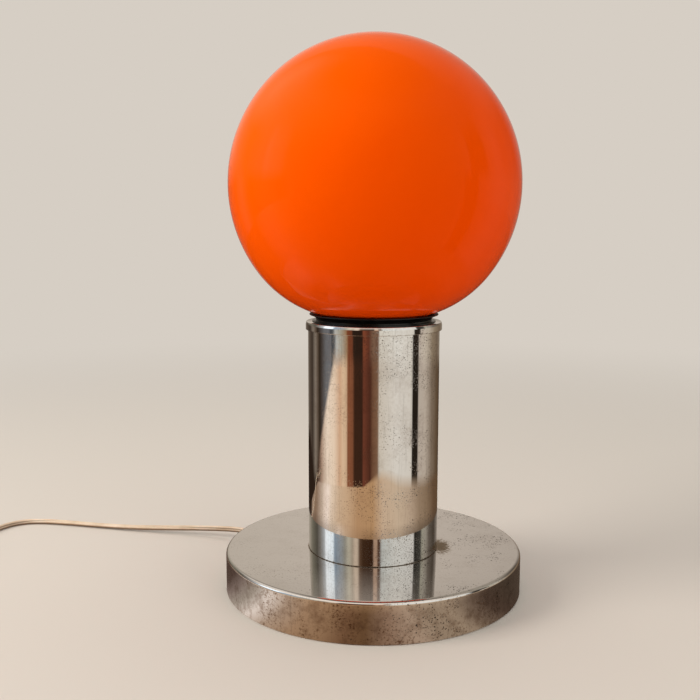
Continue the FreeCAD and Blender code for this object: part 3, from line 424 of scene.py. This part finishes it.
# Vinyl is soft and half matt with a faint drawn grain, and its cream has yellowed unevenly.
vinyl, tree, out = blank("extruded_cream_vinyl")
place = add(tree, "TexCoord").outputs["Object"]
grime = add(tree, "TexNoise", {"Vector": place, "Scale": 60.0, "Detail": 5.0, "Roughness": 0.6})
cream = ramp(tree, grime.outputs["Fac"], [(0.3, "#C8B49A"), (0.5, "#DCC8B0"), (0.72, "#E8D8C4")])
# Painted shade darkens its lower side towards brown, the more as its normal turns from up to down.
painted_shade_below = add(tree, "SeparateXYZ", {0: add(tree, "NewGeometry").outputs["Normal"]})
painted_shade_below = add(tree, "MapRange", {0: painted_shade_below.outputs["Z"], 1: 0.7, 2: -0.2, 3: 0.0, 4: 0.92})
cream = add(tree, "Mix", {0: painted_shade_below.outputs[0], 6: cream, 7: linear("#6C5038")}, data_type="RGBA").outputs[2]
grain = add(tree, "TexNoise", {"Vector": place, "Scale": 900.0, "Detail": 2.0})
bump = add(tree, "Bump", {"Height": grain.outputs["Fac"], "Strength": 0.15, "Distance": 0.0002})
coat = add(tree, "BsdfPrincipled", {"Base Color": cream, "Roughness": 0.38, "Normal": bump.outputs[0],
                                    "Specular IOR Level": 0.5, "Subsurface Weight": 0.05,
                                    "Subsurface Scale": 0.002})
tree.links.new(coat.outputs[0], out.inputs["Surface"])


def cad_nodes(*names):
    """The CAD's own objects of these names."""
    return [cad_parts[name] for name in names]


def dress(material, *names):
    """Gives CAD nodes their finish."""
    for node in cad_nodes(*names):
        for slot in node.material_slots:
            slot.material = material


cord_lead.data.materials.append(vinyl)
cord_rest.data.materials.append(vinyl)
dress(vinyl, "inner_cord", "conductors")
for piece, nodes in ((cord_lead, ("cord_lead",)), (cord_rest, ("cord_link", "cord_coil", "cord_tail"))):
    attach(piece, "root")
    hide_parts(*nodes)


switch = cad_nodes("switch_lower", "switch_upper", "switch_rocker", "rocker_cradle", "switch_screws")
far_end = cad_nodes("coil_tie", "plug_body", "plug_pins")

# What lies out of the camera's view is kept out of the metal too.
for piece in (cord_rest, *far_end, *switch):
    piece.visible_glossy = False

# Switch, plug and strain relief
# Injection-moulded cream plastic with a faint spark finish, gone a little yellow. The relief is
# moulded on the flex and snaps into the shell; two screws hold the switch together.

# The moulded plastic is satin, with a spark finish of 0.4 mm, and its cream is cloudy with age.
moulded, tree, out = blank("moulded_cream_plastic")
place = add(tree, "TexCoord").outputs["Object"]
cloud = add(tree, "TexNoise", {"Vector": place, "Scale": 45.0, "Detail": 4.0})
cream = ramp(tree, cloud.outputs["Fac"], [(0.35, "#D8C7A4"), (0.65, "#E8DCC2")])
spark = add(tree, "TexNoise", {"Vector": place, "Scale": 2600.0, "Detail": 2.0})
bump = add(tree, "Bump", {"Height": spark.outputs["Fac"], "Strength": 0.12, "Distance": 0.0001})
coat = add(tree, "BsdfPrincipled", {"Base Color": cream, "Roughness": 0.32, "Normal": bump.outputs[0]})
tree.links.new(coat.outputs[0], out.inputs["Surface"])
dress(moulded, "strain_relief", "switch_lower", "switch_upper", "switch_rocker", "plug_body")


def mottled(name, dark, light, noise, finish, places=(0.3, 0.7), relief=None):
    """A material whose colour drifts between two with one noise. Its scale counts the grains in a
    metre, so 500 is a 2 mm grain. Relief is a bump from the same noise: strength, and metres deep."""
    material, tree, out = blank(name)
    place = add(tree, "TexCoord").outputs["Object"]
    drift = add(tree, "TexNoise", {"Vector": place, **noise}).outputs["Fac"]
    sockets = {"Base Color": ramp(tree, drift, list(zip(places, (dark, light)))), **finish}
    if relief is not None:
        bump = add(tree, "Bump", {"Height": drift, "Strength": relief[0], "Distance": relief[1]})
        sockets["Normal"] = bump.outputs[0]
    coat = add(tree, "BsdfPrincipled", sockets)
    tree.links.new(coat.outputs[0], out.inputs["Surface"])
    return material


# Nylon straight from the mould: milky white and half matt.
nylon = mottled("moulded_nylon", "#CFCBC0", "#E2DFD6", {"Scale": 120.0, "Detail": 3.0}, {"Roughness": 0.42})
dress(nylon, "coil_tie")


def plated(name, dark, light, grain_mm, rough):
    """A plated or rolled metal: colour and roughness drift with a fine noise of a given grain."""
    material, tree, out = blank(name)
    place = add(tree, "TexCoord").outputs["Object"]
    cloud = add(tree, "TexNoise", {"Vector": place, "Scale": 1000.0 / grain_mm, "Detail": 4.0})
    shade = ramp(tree, cloud.outputs["Fac"], [(0.3, dark), (0.7, light)])
    dull = add(tree, "MapRange", {0: cloud.outputs["Fac"], 1: 0.3, 2: 0.7, 3: rough * 0.7, 4: rough * 1.4})
    coat = add(tree, "BsdfPrincipled", {"Base Color": shade, "Metallic": 1.0, "Roughness": dull.outputs[0]})
    tree.links.new(coat.outputs[0], out.inputs["Surface"])
    return material


# Nickel is bright and a little warm, rolled brass has gone dull and brownish, and zinc is grey.
nickel = plated("nickel_plate", "#A8A49C", "#CBC7BE", 3.0, 0.2)
brass = plated("rolled_brass", "#8E6E34", "#C9A45C", 4.0, 0.26)
zinc = plated("zinc_plated_steel", "#8A8C90", "#B4B6B8", 5.0, 0.34)
dress(nickel, "plug_pins")
dress(brass, "rocker_cradle")
dress(zinc, "switch_screws")

# Base
# A cap spun from sheet steel and chromium plated, over a cast-iron weight, a screwed plate and a
# felt pad. The top is still bright; the wall is pitted and stained brown, most of all at the right.

BASE_R = 0.105
BASE_TOP = 0.028
BASE_EDGE = 0.0024
BASE_WALL = 0.0012
BASE_LOW = 0.0006
ROD_HOLE_R = 0.0052
WEAR_DEPTH = 0.0016     # below the top, where the worn wall begins
TUBE_R = 0.046
MIRROR = 0.012          # the roughness of bright plate


def arc(centre, radius, start, end, steps):
    """Points of an outline on a circle, angles in degrees up from the outward direction."""
    a = np.radians(np.linspace(start, end, steps))
    return np.column_stack([centre[0] + radius * np.cos(a), centre[1] + radius * np.sin(a)])


def turned(name, outline, segments=256, closed=True, smooth_angle=40):
    """Carries an outline of (r, z) points round the axis: x = r cos a, y = r sin a."""
    outline = np.vstack([np.atleast_2d(part) for part in outline])
    r, z = outline.T
    a = np.linspace(0, 2 * math.pi, segments, endpoint=False)
    verts = np.stack([r[:, None] * np.cos(a), r[:, None] * np.sin(a),
                      np.repeat(z[:, None], segments, 1)], -1)
    rows = len(r)
    i, j = np.meshgrid(np.arange(rows if closed else rows - 1), np.arange(segments), indexing="ij")
    up, right = (i + 1) % rows, (j + 1) % segments
    faces = np.stack([i * segments + j, i * segments + right, up * segments + right, up * segments + j], -1)
    return mesh_object(name, verts.reshape(-1, 3), faces.reshape(-1, 4), smooth_angle)


def aged_chrome(name, stain, pits, haze, foot_z, foot_r=None, wall_top=None, pit_size=1.0, crowd_z=None):
    """Chromium plate over steel. Stain and pits run from 0 to 1, and haze adds to the roughness.
    Dirt sits in the joint at foot_z, within a millimetre, or out from foot_r. Under wall_top, which
    comes with foot_r, the plate is worn and freckled. Above crowd_z the pits crowd together."""
    material, tree, out = blank(name)
    place = add(tree, "TexCoord").outputs["Object"]
    where = add(tree, "SeparateXYZ", {0: place})

    # A brown bloom in clouds of 24 mm broken up by 2.4 mm ones, twice as strong at the right.
    amount = add(tree, "MapRange", {0: where.outputs["X"], 1: -0.10, 2: 0.10, 3: 0.55, 4: 1.25}).outputs[0]
    broad = add(tree, "TexNoise", {"Vector": place, "Scale": 42.0, "Detail": 5.0, "Roughness": 0.6})
    fine = add(tree, "TexNoise", {"Vector": place, "Scale": 420.0, "Detail": 6.0, "Roughness": 0.7})
    cloud = add(tree, "Math", {0: broad.outputs["Fac"], 1: 0.6, 2: 0.0}, operation="MULTIPLY_ADD")
    cloud = add(tree, "Math", {0: fine.outputs["Fac"], 1: 0.4, 2: cloud.outputs[0]},
                operation="MULTIPLY_ADD")
    soft = add(tree, "MapRange", {0: cloud.outputs[0], 1: 0.48, 2: 0.66, 3: 0.0, 4: stain})
    brown = add(tree, "Math", {0: soft.outputs[0], 1: amount}, operation="MULTIPLY", use_clamp=True)
    brown = brown.outputs[0]

    # Pits come in crowds, in three sizes of cell. Each is a dark dot of half a millimetre to one at
    # its widest, and those at the left are a third as dark as those at the right.
    crowd = add(tree, "TexNoise", {"Vector": place, "Scale": 55.0, "Detail": 4.0})
    crowd = add(tree, "MapRange", {0: crowd.outputs["Fac"], 1: 0.60 - 0.16 * pits, 2: 0.70 - 0.16 * pits,
                                   3: 0.0, 4: 1.0})
    if crowd_z is not None:
        upper = add(tree, "MapRange", {0: where.outputs["Z"], 1: crowd_z, 2: crowd_z + 0.025,
                                       3: 0.0, 4: 0.8})
        crowd = add(tree, "Math", {0: crowd.outputs[0], 1: upper.outputs[0]}, operation="MAXIMUM")
    dots = []
    for scale, width in ((1250.0, 0.36), (700.0, 0.30), (330.0, 0.19)):
        cells = add(tree, "TexVoronoi", {"Vector": place, "Scale": scale / pit_size, "Randomness": 1.0})
        spot = add(tree, "MapRange", {0: cells.outputs["Distance"], 1: width, 2: width * 0.6,
                                      3: 0.0, 4: 1.0})
        rare = add(tree, "SeparateColor", {0: cells.outputs["Color"]})
        rare = add(tree, "Math", {0: rare.outputs[0], 1: 0.86 - 0.3 * pits}, operation="GREATER_THAN")
        dots.append(add(tree, "Math", {0: spot.outputs[0], 1: rare.outputs[0]}, operation="MULTIPLY"))
    pit = add(tree, "Math", {0: dots[0].outputs[0], 1: dots[1].outputs[0]}, operation="MAXIMUM")
    pit = add(tree, "Math", {0: pit.outputs[0], 1: dots[2].outputs[0]}, operation="MAXIMUM")
    pit = add(tree, "Math", {0: pit.outputs[0], 1: crowd.outputs[0]}, operation="MULTIPLY")
    right = add(tree, "MapRange", {0: where.outputs["X"], 1: -0.02, 2: 0.05, 3: 0.3, 4: 1.1}).outputs[0]
    pit = add(tree, "Math", {0: pit.outputs[0], 1: right}, operation="MULTIPLY", use_clamp=True).outputs[0]

    # Hair lines a millimetre apart, left by the buffing wheel, run up and down.
    drawn = add(tree, "VectorMath", {0: place, 1: (1.0, 1.0, 0.03)}, operation="MULTIPLY")
    hair = add(tree, "TexNoise", {"Vector": drawn.outputs[0], "Scale": 900.0, "Detail": 3.0,
                                  "Roughness": 0.7})
    hair = add(tree, "MapRange", {0: hair.outputs["Fac"], 1: 0.56, 2: 0.72, 3: 0.0, 4: 0.34}).outputs[0]

    if wall_top is not None:
        wall = add(tree, "MapRange", {0: where.outputs["Z"], 1: wall_top + 0.0005, 2: wall_top - 0.001,
                                      3: 0.0, 4: 1.0})
        # Freckles crowd where the cloud is thick, and lie singly elsewhere, on patches of 9 mm.
        speck = add(tree, "TexNoise", {"Vector": place, "Scale": 620.0, "Detail": 4.0, "Roughness": 0.75})
        freckle = add(tree, "Math", {0: cloud.outputs[0], 1: 1.1, 2: speck.outputs["Fac"]},
                      operation="MULTIPLY_ADD")
        freckle = add(tree, "MapRange", {0: freckle.outputs[0], 1: 1.08, 2: 1.26, 3: 0.04, 4: 1.0})
        freckle = add(tree, "Math", {0: freckle.outputs[0], 1: wall.outputs[0]}, operation="MULTIPLY",
                      use_clamp=True)
        patch = add(tree, "TexNoise", {"Vector": place, "Scale": 115.0, "Detail": 4.0, "Roughness": 0.65})
        patch = add(tree, "MapRange", {0: patch.outputs["Fac"], 1: 0.47, 2: 0.68, 3: 0.0, 4: 0.6})
        patch = add(tree, "Math", {0: patch.outputs[0], 1: wall.outputs[0]}, operation="MULTIPLY")
        brown = add(tree, "Math", {0: patch.outputs[0], 1: brown}, operation="MAXIMUM").outputs[0]
        brown = add(tree, "Math", {0: freckle.outputs[0], 1: brown}, operation="MAXIMUM").outputs[0]
        # The top has less than half the wall's bloom.
        kept = add(tree, "MapRange", {0: wall.outputs[0], 1: 0.0, 2: 1.0, 3: 0.45, 4: 1.0})
        brown = add(tree, "Math", {0: kept.outputs[0], 1: brown}, operation="MULTIPLY").outputs[0]

    # Dirt in the joint, with a ragged edge.
    if foot_r is None:
        off = add(tree, "Math", {0: where.outputs["Z"], 1: foot_z}, operation="SUBTRACT")
    else:
        outward = add(tree, "VectorMath", {0: place, 1: (1.0, 1.0, 0.0)}, operation="MULTIPLY")
        off = add(tree, "VectorMath", {0: outward.outputs[0]}, operation="LENGTH")
        off = add(tree, "Math", {0: off.outputs["Value"], 1: foot_r}, operation="SUBTRACT")
    dirt = add(tree, "Math", {0: fine.outputs["Fac"], 1: -0.0016, 2: off.outputs[0]},
               operation="MULTIPLY_ADD")
    dirt = add(tree, "MapRange", {0: dirt.outputs[0], 1: -0.0007, 2: 0.0001, 3: 0.85, 4: 0.0}).outputs[0]
    if foot_r is not None:
        # One rust stain has crept out of the joint at the right.
        narrow = add(tree, "VectorMath", {0: place, 1: (1.0, 0.45, 1.0)}, operation="MULTIPLY")
        creep = add(tree, "VectorMath", {0: narrow.outputs[0], 1: (foot_r + 0.0024, -0.001, foot_z)},
                    operation="DISTANCE")
        creep = add(tree, "Math", {0: speck.outputs["Fac"], 1: -0.018, 2: creep.outputs["Value"]},
                    operation="MULTIPLY_ADD")
        creep = add(tree, "MapRange", {0: creep.outputs[0], 1: -0.005, 2: -0.001, 3: 0.9, 4: 0.0})
        dirt = add(tree, "Math", {0: dirt, 1: creep.outputs[0]}, operation="MAXIMUM").outputs[0]

    # Bright plate first, then the bloom, the hair lines, the dirt and the pits, each duller.
    worn = add(tree, "Mix", {0: brown, 6: linear("#D8D6D3"), 7: linear("#7A6048")}, data_type="RGBA")
    worn = add(tree, "Mix", {0: hair, 6: worn.outputs[2], 7: linear("#8C8A86")}, data_type="RGBA")
    worn = add(tree, "Mix", {0: dirt, 6: worn.outputs[2], 7: linear("#7C6644")}, data_type="RGBA")
    shade = add(tree, "Mix", {0: pit, 6: worn.outputs[2], 7: linear("#30241A")}, data_type="RGBA")
    dull = add(tree, "MapRange", {0: broad.outputs["Fac"], 1: 0.35, 2: 0.7, 3: MIRROR, 4: MIRROR + haze})
    dull = add(tree, "Math", {0: brown, 1: 0.38, 2: dull.outputs[0]}, operation="MULTIPLY_ADD")
    dull = add(tree, "Math", {0: dirt, 1: 0.5, 2: dull.outputs[0]}, operation="MULTIPLY_ADD")
    dull = add(tree, "Math", {0: pit, 1: 0.4, 2: dull.outputs[0]}, operation="MULTIPLY_ADD", use_clamp=True)
    hollow = add(tree, "Math", {0: pit, 1: -1.0, 2: 1.0}, operation="MULTIPLY_ADD")
    bump = add(tree, "Bump", {"Height": hollow.outputs[0], "Strength": 0.2, "Distance": 0.0001})
    coat = add(tree, "BsdfPrincipled", {"Base Color": shade.outputs[2], "Metallic": 1.0,
                                        "Roughness": dull.outputs[0], "Normal": bump.outputs[0]})
    tree.links.new(coat.outputs[0], out.inputs["Surface"])
    return material


edge_middle = (BASE_R - BASE_EDGE, BASE_TOP - BASE_EDGE)
base = turned("base_shell_chrome", [
    (BASE_R - BASE_WALL, BASE_LOW), (BASE_R, BASE_LOW), arc(edge_middle, BASE_EDGE, 0, 90, 12),
    (ROD_HOLE_R, BASE_TOP), (ROD_HOLE_R, BASE_TOP - BASE_WALL),
    arc(edge_middle, BASE_EDGE - BASE_WALL, 90, 0, 8)], segments=360)
base.data.materials.append(aged_chrome("aged_chrome_base", 0.35, 0.75, 0.012, BASE_TOP, foot_r=TUBE_R,
                                       wall_top=BASE_TOP - WEAR_DEPTH, pit_size=1.3))
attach(base, "root")
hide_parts("base_shell")

# Sand-cast iron: dark, coarse and dull, as it came from the mould.
iron = mottled("cast_iron", "#2A2A2C", "#4A4846", {"Scale": 700.0, "Detail": 6.0, "Roughness": 0.7},
               {"Metallic": 0.8, "Roughness": 0.62}, relief=(0.6, 0.0006))
dress(iron, "ballast")

# Felt pressed from dark green wool, with a soft nap that catches light at its edges.
felt = mottled("pressed_wool_felt", "#1C2A24", "#35473D",
               {"Scale": 1400.0, "Detail": 6.0, "Roughness": 0.75},
               {"Roughness": 0.95, "Sheen Weight": 0.3}, relief=(0.5, 0.0005))
dress(felt, "felt_pad")
dress(zinc, "base_plate", "plate_screws", "clamp_screw")
dress(brass, "plate_posts")
dress(nylon, "cord_clamp")

# Column and collar
# A length of chromium-plated steel tube stood on the base, and a pressed ring with a short skirt
# over its upper end, all drawn together by a threaded rod inside. Pits crowd near the tube's top.

TUBE_WALL = 0.0015
COLLAR_R = 0.0476
COLLAR_TOP = 0.1905
COLLAR_LOW = 0.185
COLLAR_INNER = 0.042
FLANGE = 0.0015
TUBE_TOP = COLLAR_TOP - FLANGE
BURR = 0.0003           # the tube's lower edge is broken by this much
LIP = 0.00025           # and the collar's is rounded
SLIP = 0.00002          # between the tube and the collar's skirt
HOLD = 0.00008          # an outline point this close to a rounded edge keeps the wall's gloss straight

tube = turned("column_tube_chrome", [
    (TUBE_R - TUBE_WALL, BASE_TOP), (TUBE_R - BURR, BASE_TOP), (TUBE_R, BASE_TOP + BURR),
    (TUBE_R, TUBE_TOP), (TUBE_R - TUBE_WALL, TUBE_TOP)], segments=360)
tube.data.materials.append(aged_chrome("aged_chrome_tube", 0.3, 0.9, 0.012, BASE_TOP, crowd_z=0.155))
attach(tube, "root")
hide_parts("column_tube")

# The rim is rolled in: it leans 16 degrees over its last millimetre and a half, then turns over.
# Points are (r, z) in millimetres from the collar's outer upper corner.
roll = np.array([(0, -2.0), (0, -1.9), (-0.05, -1.6), (-0.15, -1.25), (-0.28, -0.8), (-0.4, -0.4),
                 (-0.49, -0.16), (-0.59, -0.05), (-0.75, 0)])
collar = turned("collar_chrome", [
    (TUBE_R + SLIP, COLLAR_LOW), arc((COLLAR_R - LIP, COLLAR_LOW + LIP), LIP, -90, 0, 6),
    (COLLAR_R, COLLAR_LOW + LIP + HOLD), roll / 1000 + (COLLAR_R, COLLAR_TOP),
    (COLLAR_INNER, COLLAR_TOP), (COLLAR_INNER, TUBE_TOP), (TUBE_R + SLIP, TUBE_TOP)], segments=360)
collar.data.materials.append(aged_chrome("aged_chrome_collar", 0.25, 0.75, 0.02, COLLAR_LOW - 0.0004))
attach(collar, "root")
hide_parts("collar")
dress(zinc, "rod_washers", "rod_nuts", "tie_rod", "column_foot")

# Gallery, gasket and lampholder
# The glass screws into a black compression-moulded cup that hangs in the collar, on a moulded
# rubber ring whose thin lip flares out under the ball. The lampholder stands in the cup.

# Phenolic is near black with a faint brown fleck, and its moulded gloss has gone a little dull.
phenolic = mottled("black_phenolic", "#080707", "#14110F", {"Scale": 500.0, "Detail": 4.0},
                   {"Roughness": 0.24, "Specular IOR Level": 0.35}, places=(0.4, 0.75))
dress(phenolic, "gallery", "holder_dome", "holder_sleeve", "bulb_insulator")

# Pressed and fired porcelain, white and evenly shiny under its glaze.
porcelain = mottled("glazed_porcelain", "#DCD8CE", "#EFECE4", {"Scale": 90.0, "Detail": 3.0},
                    {"Roughness": 0.18})
dress(porcelain, "holder_insert")
dress(brass, "screw_shell", "centre_contact", "terminals")
dress(zinc, "terminal_screws")

# The ring's outline in millimetres, (r, z) from its underside: a seat, then the lip that flares out.
GASKET_LOW = 0.1922
flare = np.array([(38.3, 0), (40.4, 0), (40.8, 1.0), (42.4, 2.0), (44.8, 2.9), (45.0, 3.1), (44.9, 3.6),
                  (43.8, 3.6), (41.0, 3.35), (39.1, 2.85), (38.3, 1.9)])
gasket = turned("gasket_rubber", [flare / 1000 + (0, GASKET_LOW)], smooth_angle=50)
# Rubber takes the light broadly and darkly, with a dusty bloom in patches of 6 mm.
rubber = mottled("moulded_black_rubber", "#070606", "#171514", {"Scale": 160.0, "Detail": 5.0},
                 {"Roughness": 0.42, "Specular IOR Level": 0.3}, places=(0.35, 0.8), relief=(0.2, 0.0002))
gasket.data.materials.append(rubber)
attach(gasket, "gasket_ring")
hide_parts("gasket")

# Bulb
# A pear-shaped lamp of thin blown glass, etched white inside and sealed to the stem that holds its
# filament. Its rolled screw cap is cemented on and screws into the lampholder.

# The etching, half a millimetre coarse so that it shows, spreads the light that comes through.
frosted, tree, out = blank("frosted_lamp_glass")
place = add(tree, "TexCoord").outputs["Object"]
etch = add(tree, "TexNoise", {"Vector": place, "Scale": 2000.0, "Detail": 2.0})
bump = add(tree, "Bump", {"Height": etch.outputs["Fac"], "Strength": 0.1, "Distance": 0.0001})
coat = add(tree, "BsdfPrincipled", {"Base Color": linear("#EEECE6"), "Roughness": 0.35,
                                    "Transmission Weight": 0.35, "Normal": bump.outputs[0]})
tree.links.new(coat.outputs[0], out.inputs["Surface"])
dress(frosted, "bulb_glass", "bulb_stem")
# Tungsten wire, grey and half bright from the die it was drawn through.
tungsten = plated("drawn_tungsten", "#8A8C90", "#B4B6B8", 5.0, 0.34)
dress(tungsten, "filament")
dress(nickel, "bulb_cap")
dress(brass, "bulb_contact")

# Globe
# Opal glass cased in orange, blown as one ball with a screw neck. The outside is glossy and deep
# orange, the inside is the white opal layer, and the mouth is fire polished.

GLOBE_R = 0.1
GLOBE_Z = 0.284
GLASS = 0.003
UNDER_R = 0.08          # the underside's curve is tighter than the ball's, and runs on from it
JOIN_COSINE, JOIN_SINE = 0.8, 0.6
NECK_R = 0.0376
NECK_LOW = 0.1786
SHOULDER_OUT, SHOULDER_IN = 0.0034, 0.0012      # where the neck's bends begin, out from NECK_R
under = ((GLOBE_R - UNDER_R) * JOIN_COSINE, GLOBE_Z - (GLOBE_R - UNDER_R) * JOIN_SINE)
join_angle = -math.degrees(math.acos(JOIN_COSINE))


def angle_at(radius, r):
    """The angle of the underside curve's point at r from the axis, in degrees."""
    return -math.degrees(math.acos((r - under[0]) / radius))


def bend(start, through, end):
    """A smooth short curve through three points: the parabola in t that meets them at 0, 1/2, 1."""
    t = np.linspace(0, 1, 8)[:, None]
    start, through, end = (np.array(p) for p in (start, through, end))
    return start * (1 - t) * (1 - 2 * t) + through * 4 * t * (1 - t) + end * t * (2 * t - 1)


inside_r = UNDER_R - GLASS
out_angle = angle_at(UNDER_R, NECK_R + SHOULDER_OUT)
in_angle = angle_at(inside_r, NECK_R + SHOULDER_IN)
shoulder = arc(under, UNDER_R, out_angle, out_angle, 1)[0]
in_shoulder = arc(under, inside_r, in_angle, in_angle, 1)[0]
neck_inner = (NECK_R - GLASS, shoulder[1] - 0.0018)
mouth = (NECK_R - GLASS / 2, NECK_LOW)
# From the ball's top down the outside, round the mouth, and up the inside.
globe = turned("globe_cased_glass", [
    arc((0, GLOBE_Z), GLOBE_R, 90, join_angle, 90),
    arc(under, UNDER_R, join_angle, out_angle, 40)[1:],
    bend(shoulder, (NECK_R + 0.00095, shoulder[1] - 0.0009), (NECK_R, shoulder[1] - 0.003))[1:],
    arc(mouth, GLASS / 2, 0, -180, 10),
    neck_inner,
    bend(neck_inner, (NECK_R - GLASS + 0.001, in_shoulder[1] - 0.0015), in_shoulder)[1:],
    arc(under, inside_r, in_angle, join_angle, 30)[1:],
    arc((0, GLOBE_Z), GLOBE_R - GLASS, join_angle, 90, 60)[1:]],
    segments=256, closed=False, smooth_angle=60)

# The screw thread is one round bead that goes once round the neck, its middle just under the glass.
BEAD_R = 0.001
BEAD_SUNK = 0.0001
BEAD_PITCH = 0.006
BEAD_START = math.radians(40)
bead_r = NECK_R - BEAD_SUNK
climb = np.linspace(0, 1, 121)
turn_angle = np.linspace(0, 2 * math.pi, 121) + BEAD_START
line = np.column_stack([bead_r * np.cos(turn_angle), bead_r * np.sin(turn_angle),
                        NECK_LOW + 0.0014 + BEAD_PITCH * climb])
a = np.linspace(0, 2 * math.pi, 13)[:-1]
thread = carried("globe_thread_glass", line, BEAD_R * np.column_stack([np.cos(a), np.sin(a)]))

# Polished cased glass: a sharp weak gloss tinted by the colour that lies just under it.
cased, tree, out = blank("orange_cased_glass")
place = add(tree, "TexCoord").outputs["Object"]
drift = add(tree, "TexNoise", {"Vector": place, "Scale": 9.0, "Detail": 3.0, "Roughness": 0.5})
# Painted light: the orange is lighter towards the top and the left, where the light falls, and deeper down
# at the neck and at the right, with a slow noise drifting the tone.
where = add(tree, "SeparateXYZ", {0: place})
lit_top = add(tree, "MapRange", {0: where.outputs["Z"], 1: 0.19, 2: 0.384, 3: 0.0, 4: 0.4})
# painted light: the left side is made lighter, the right deeper
side = add(tree, "MapRange", {0: where.outputs["X"], 1: 0.1, 2: -0.1, 3: 0.0, 4: 0.4})
light_and_drift = add(tree, "Math", {0: lit_top.outputs[0], 1: side.outputs[0]})
light_and_drift = add(tree, "Math", {0: drift.outputs["Fac"], 1: 0.2, 2: light_and_drift.outputs[0]}, operation="MULTIPLY_ADD")
orange = ramp(tree, light_and_drift.outputs[0], [(0.15, "#EE4600"), (0.35, "#EE4900"), (0.5, "#EE4E00"),
                                      (0.68, "#F35A00"), (0.9, "#F86A08")])
coat = add(tree, "BsdfPrincipled", {"Base Color": orange, "Roughness": 0.05, "IOR": 1.5,
                                    "Specular IOR Level": 0.15, "Specular Tint": linear("#FF7A20")})
tree.links.new(coat.outputs[0], out.inputs["Surface"])

# The opal layer is milky, warm white and clouded over hand widths.
opal = mottled("white_opal_glass", "#EADFD0", "#F6EEE2", {"Scale": 12.0, "Detail": 3.0},
               {"Roughness": 0.12, "IOR": 1.5})

for piece in (globe, thread):
    piece.data.materials.append(cased)
    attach(piece, "globe")
globe.data.materials.append(opal)
# The white layer is the inside: faces whose normal turns towards the ball's middle, or the neck's.
middles = np.array([face.center[:] for face in globe.data.polygons])
normals = np.array([face.normal[:] for face in globe.data.polygons])
outward = np.where(middles[:, 2:] > shoulder[1], middles - (0, 0, GLOBE_Z), middles * (1, 1, 0))
globe.data.polygons.foreach_set("material_index", ((normals * outward).sum(1) < 0).astype(np.int32))
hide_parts("globe_glass")
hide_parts("globe_neck")
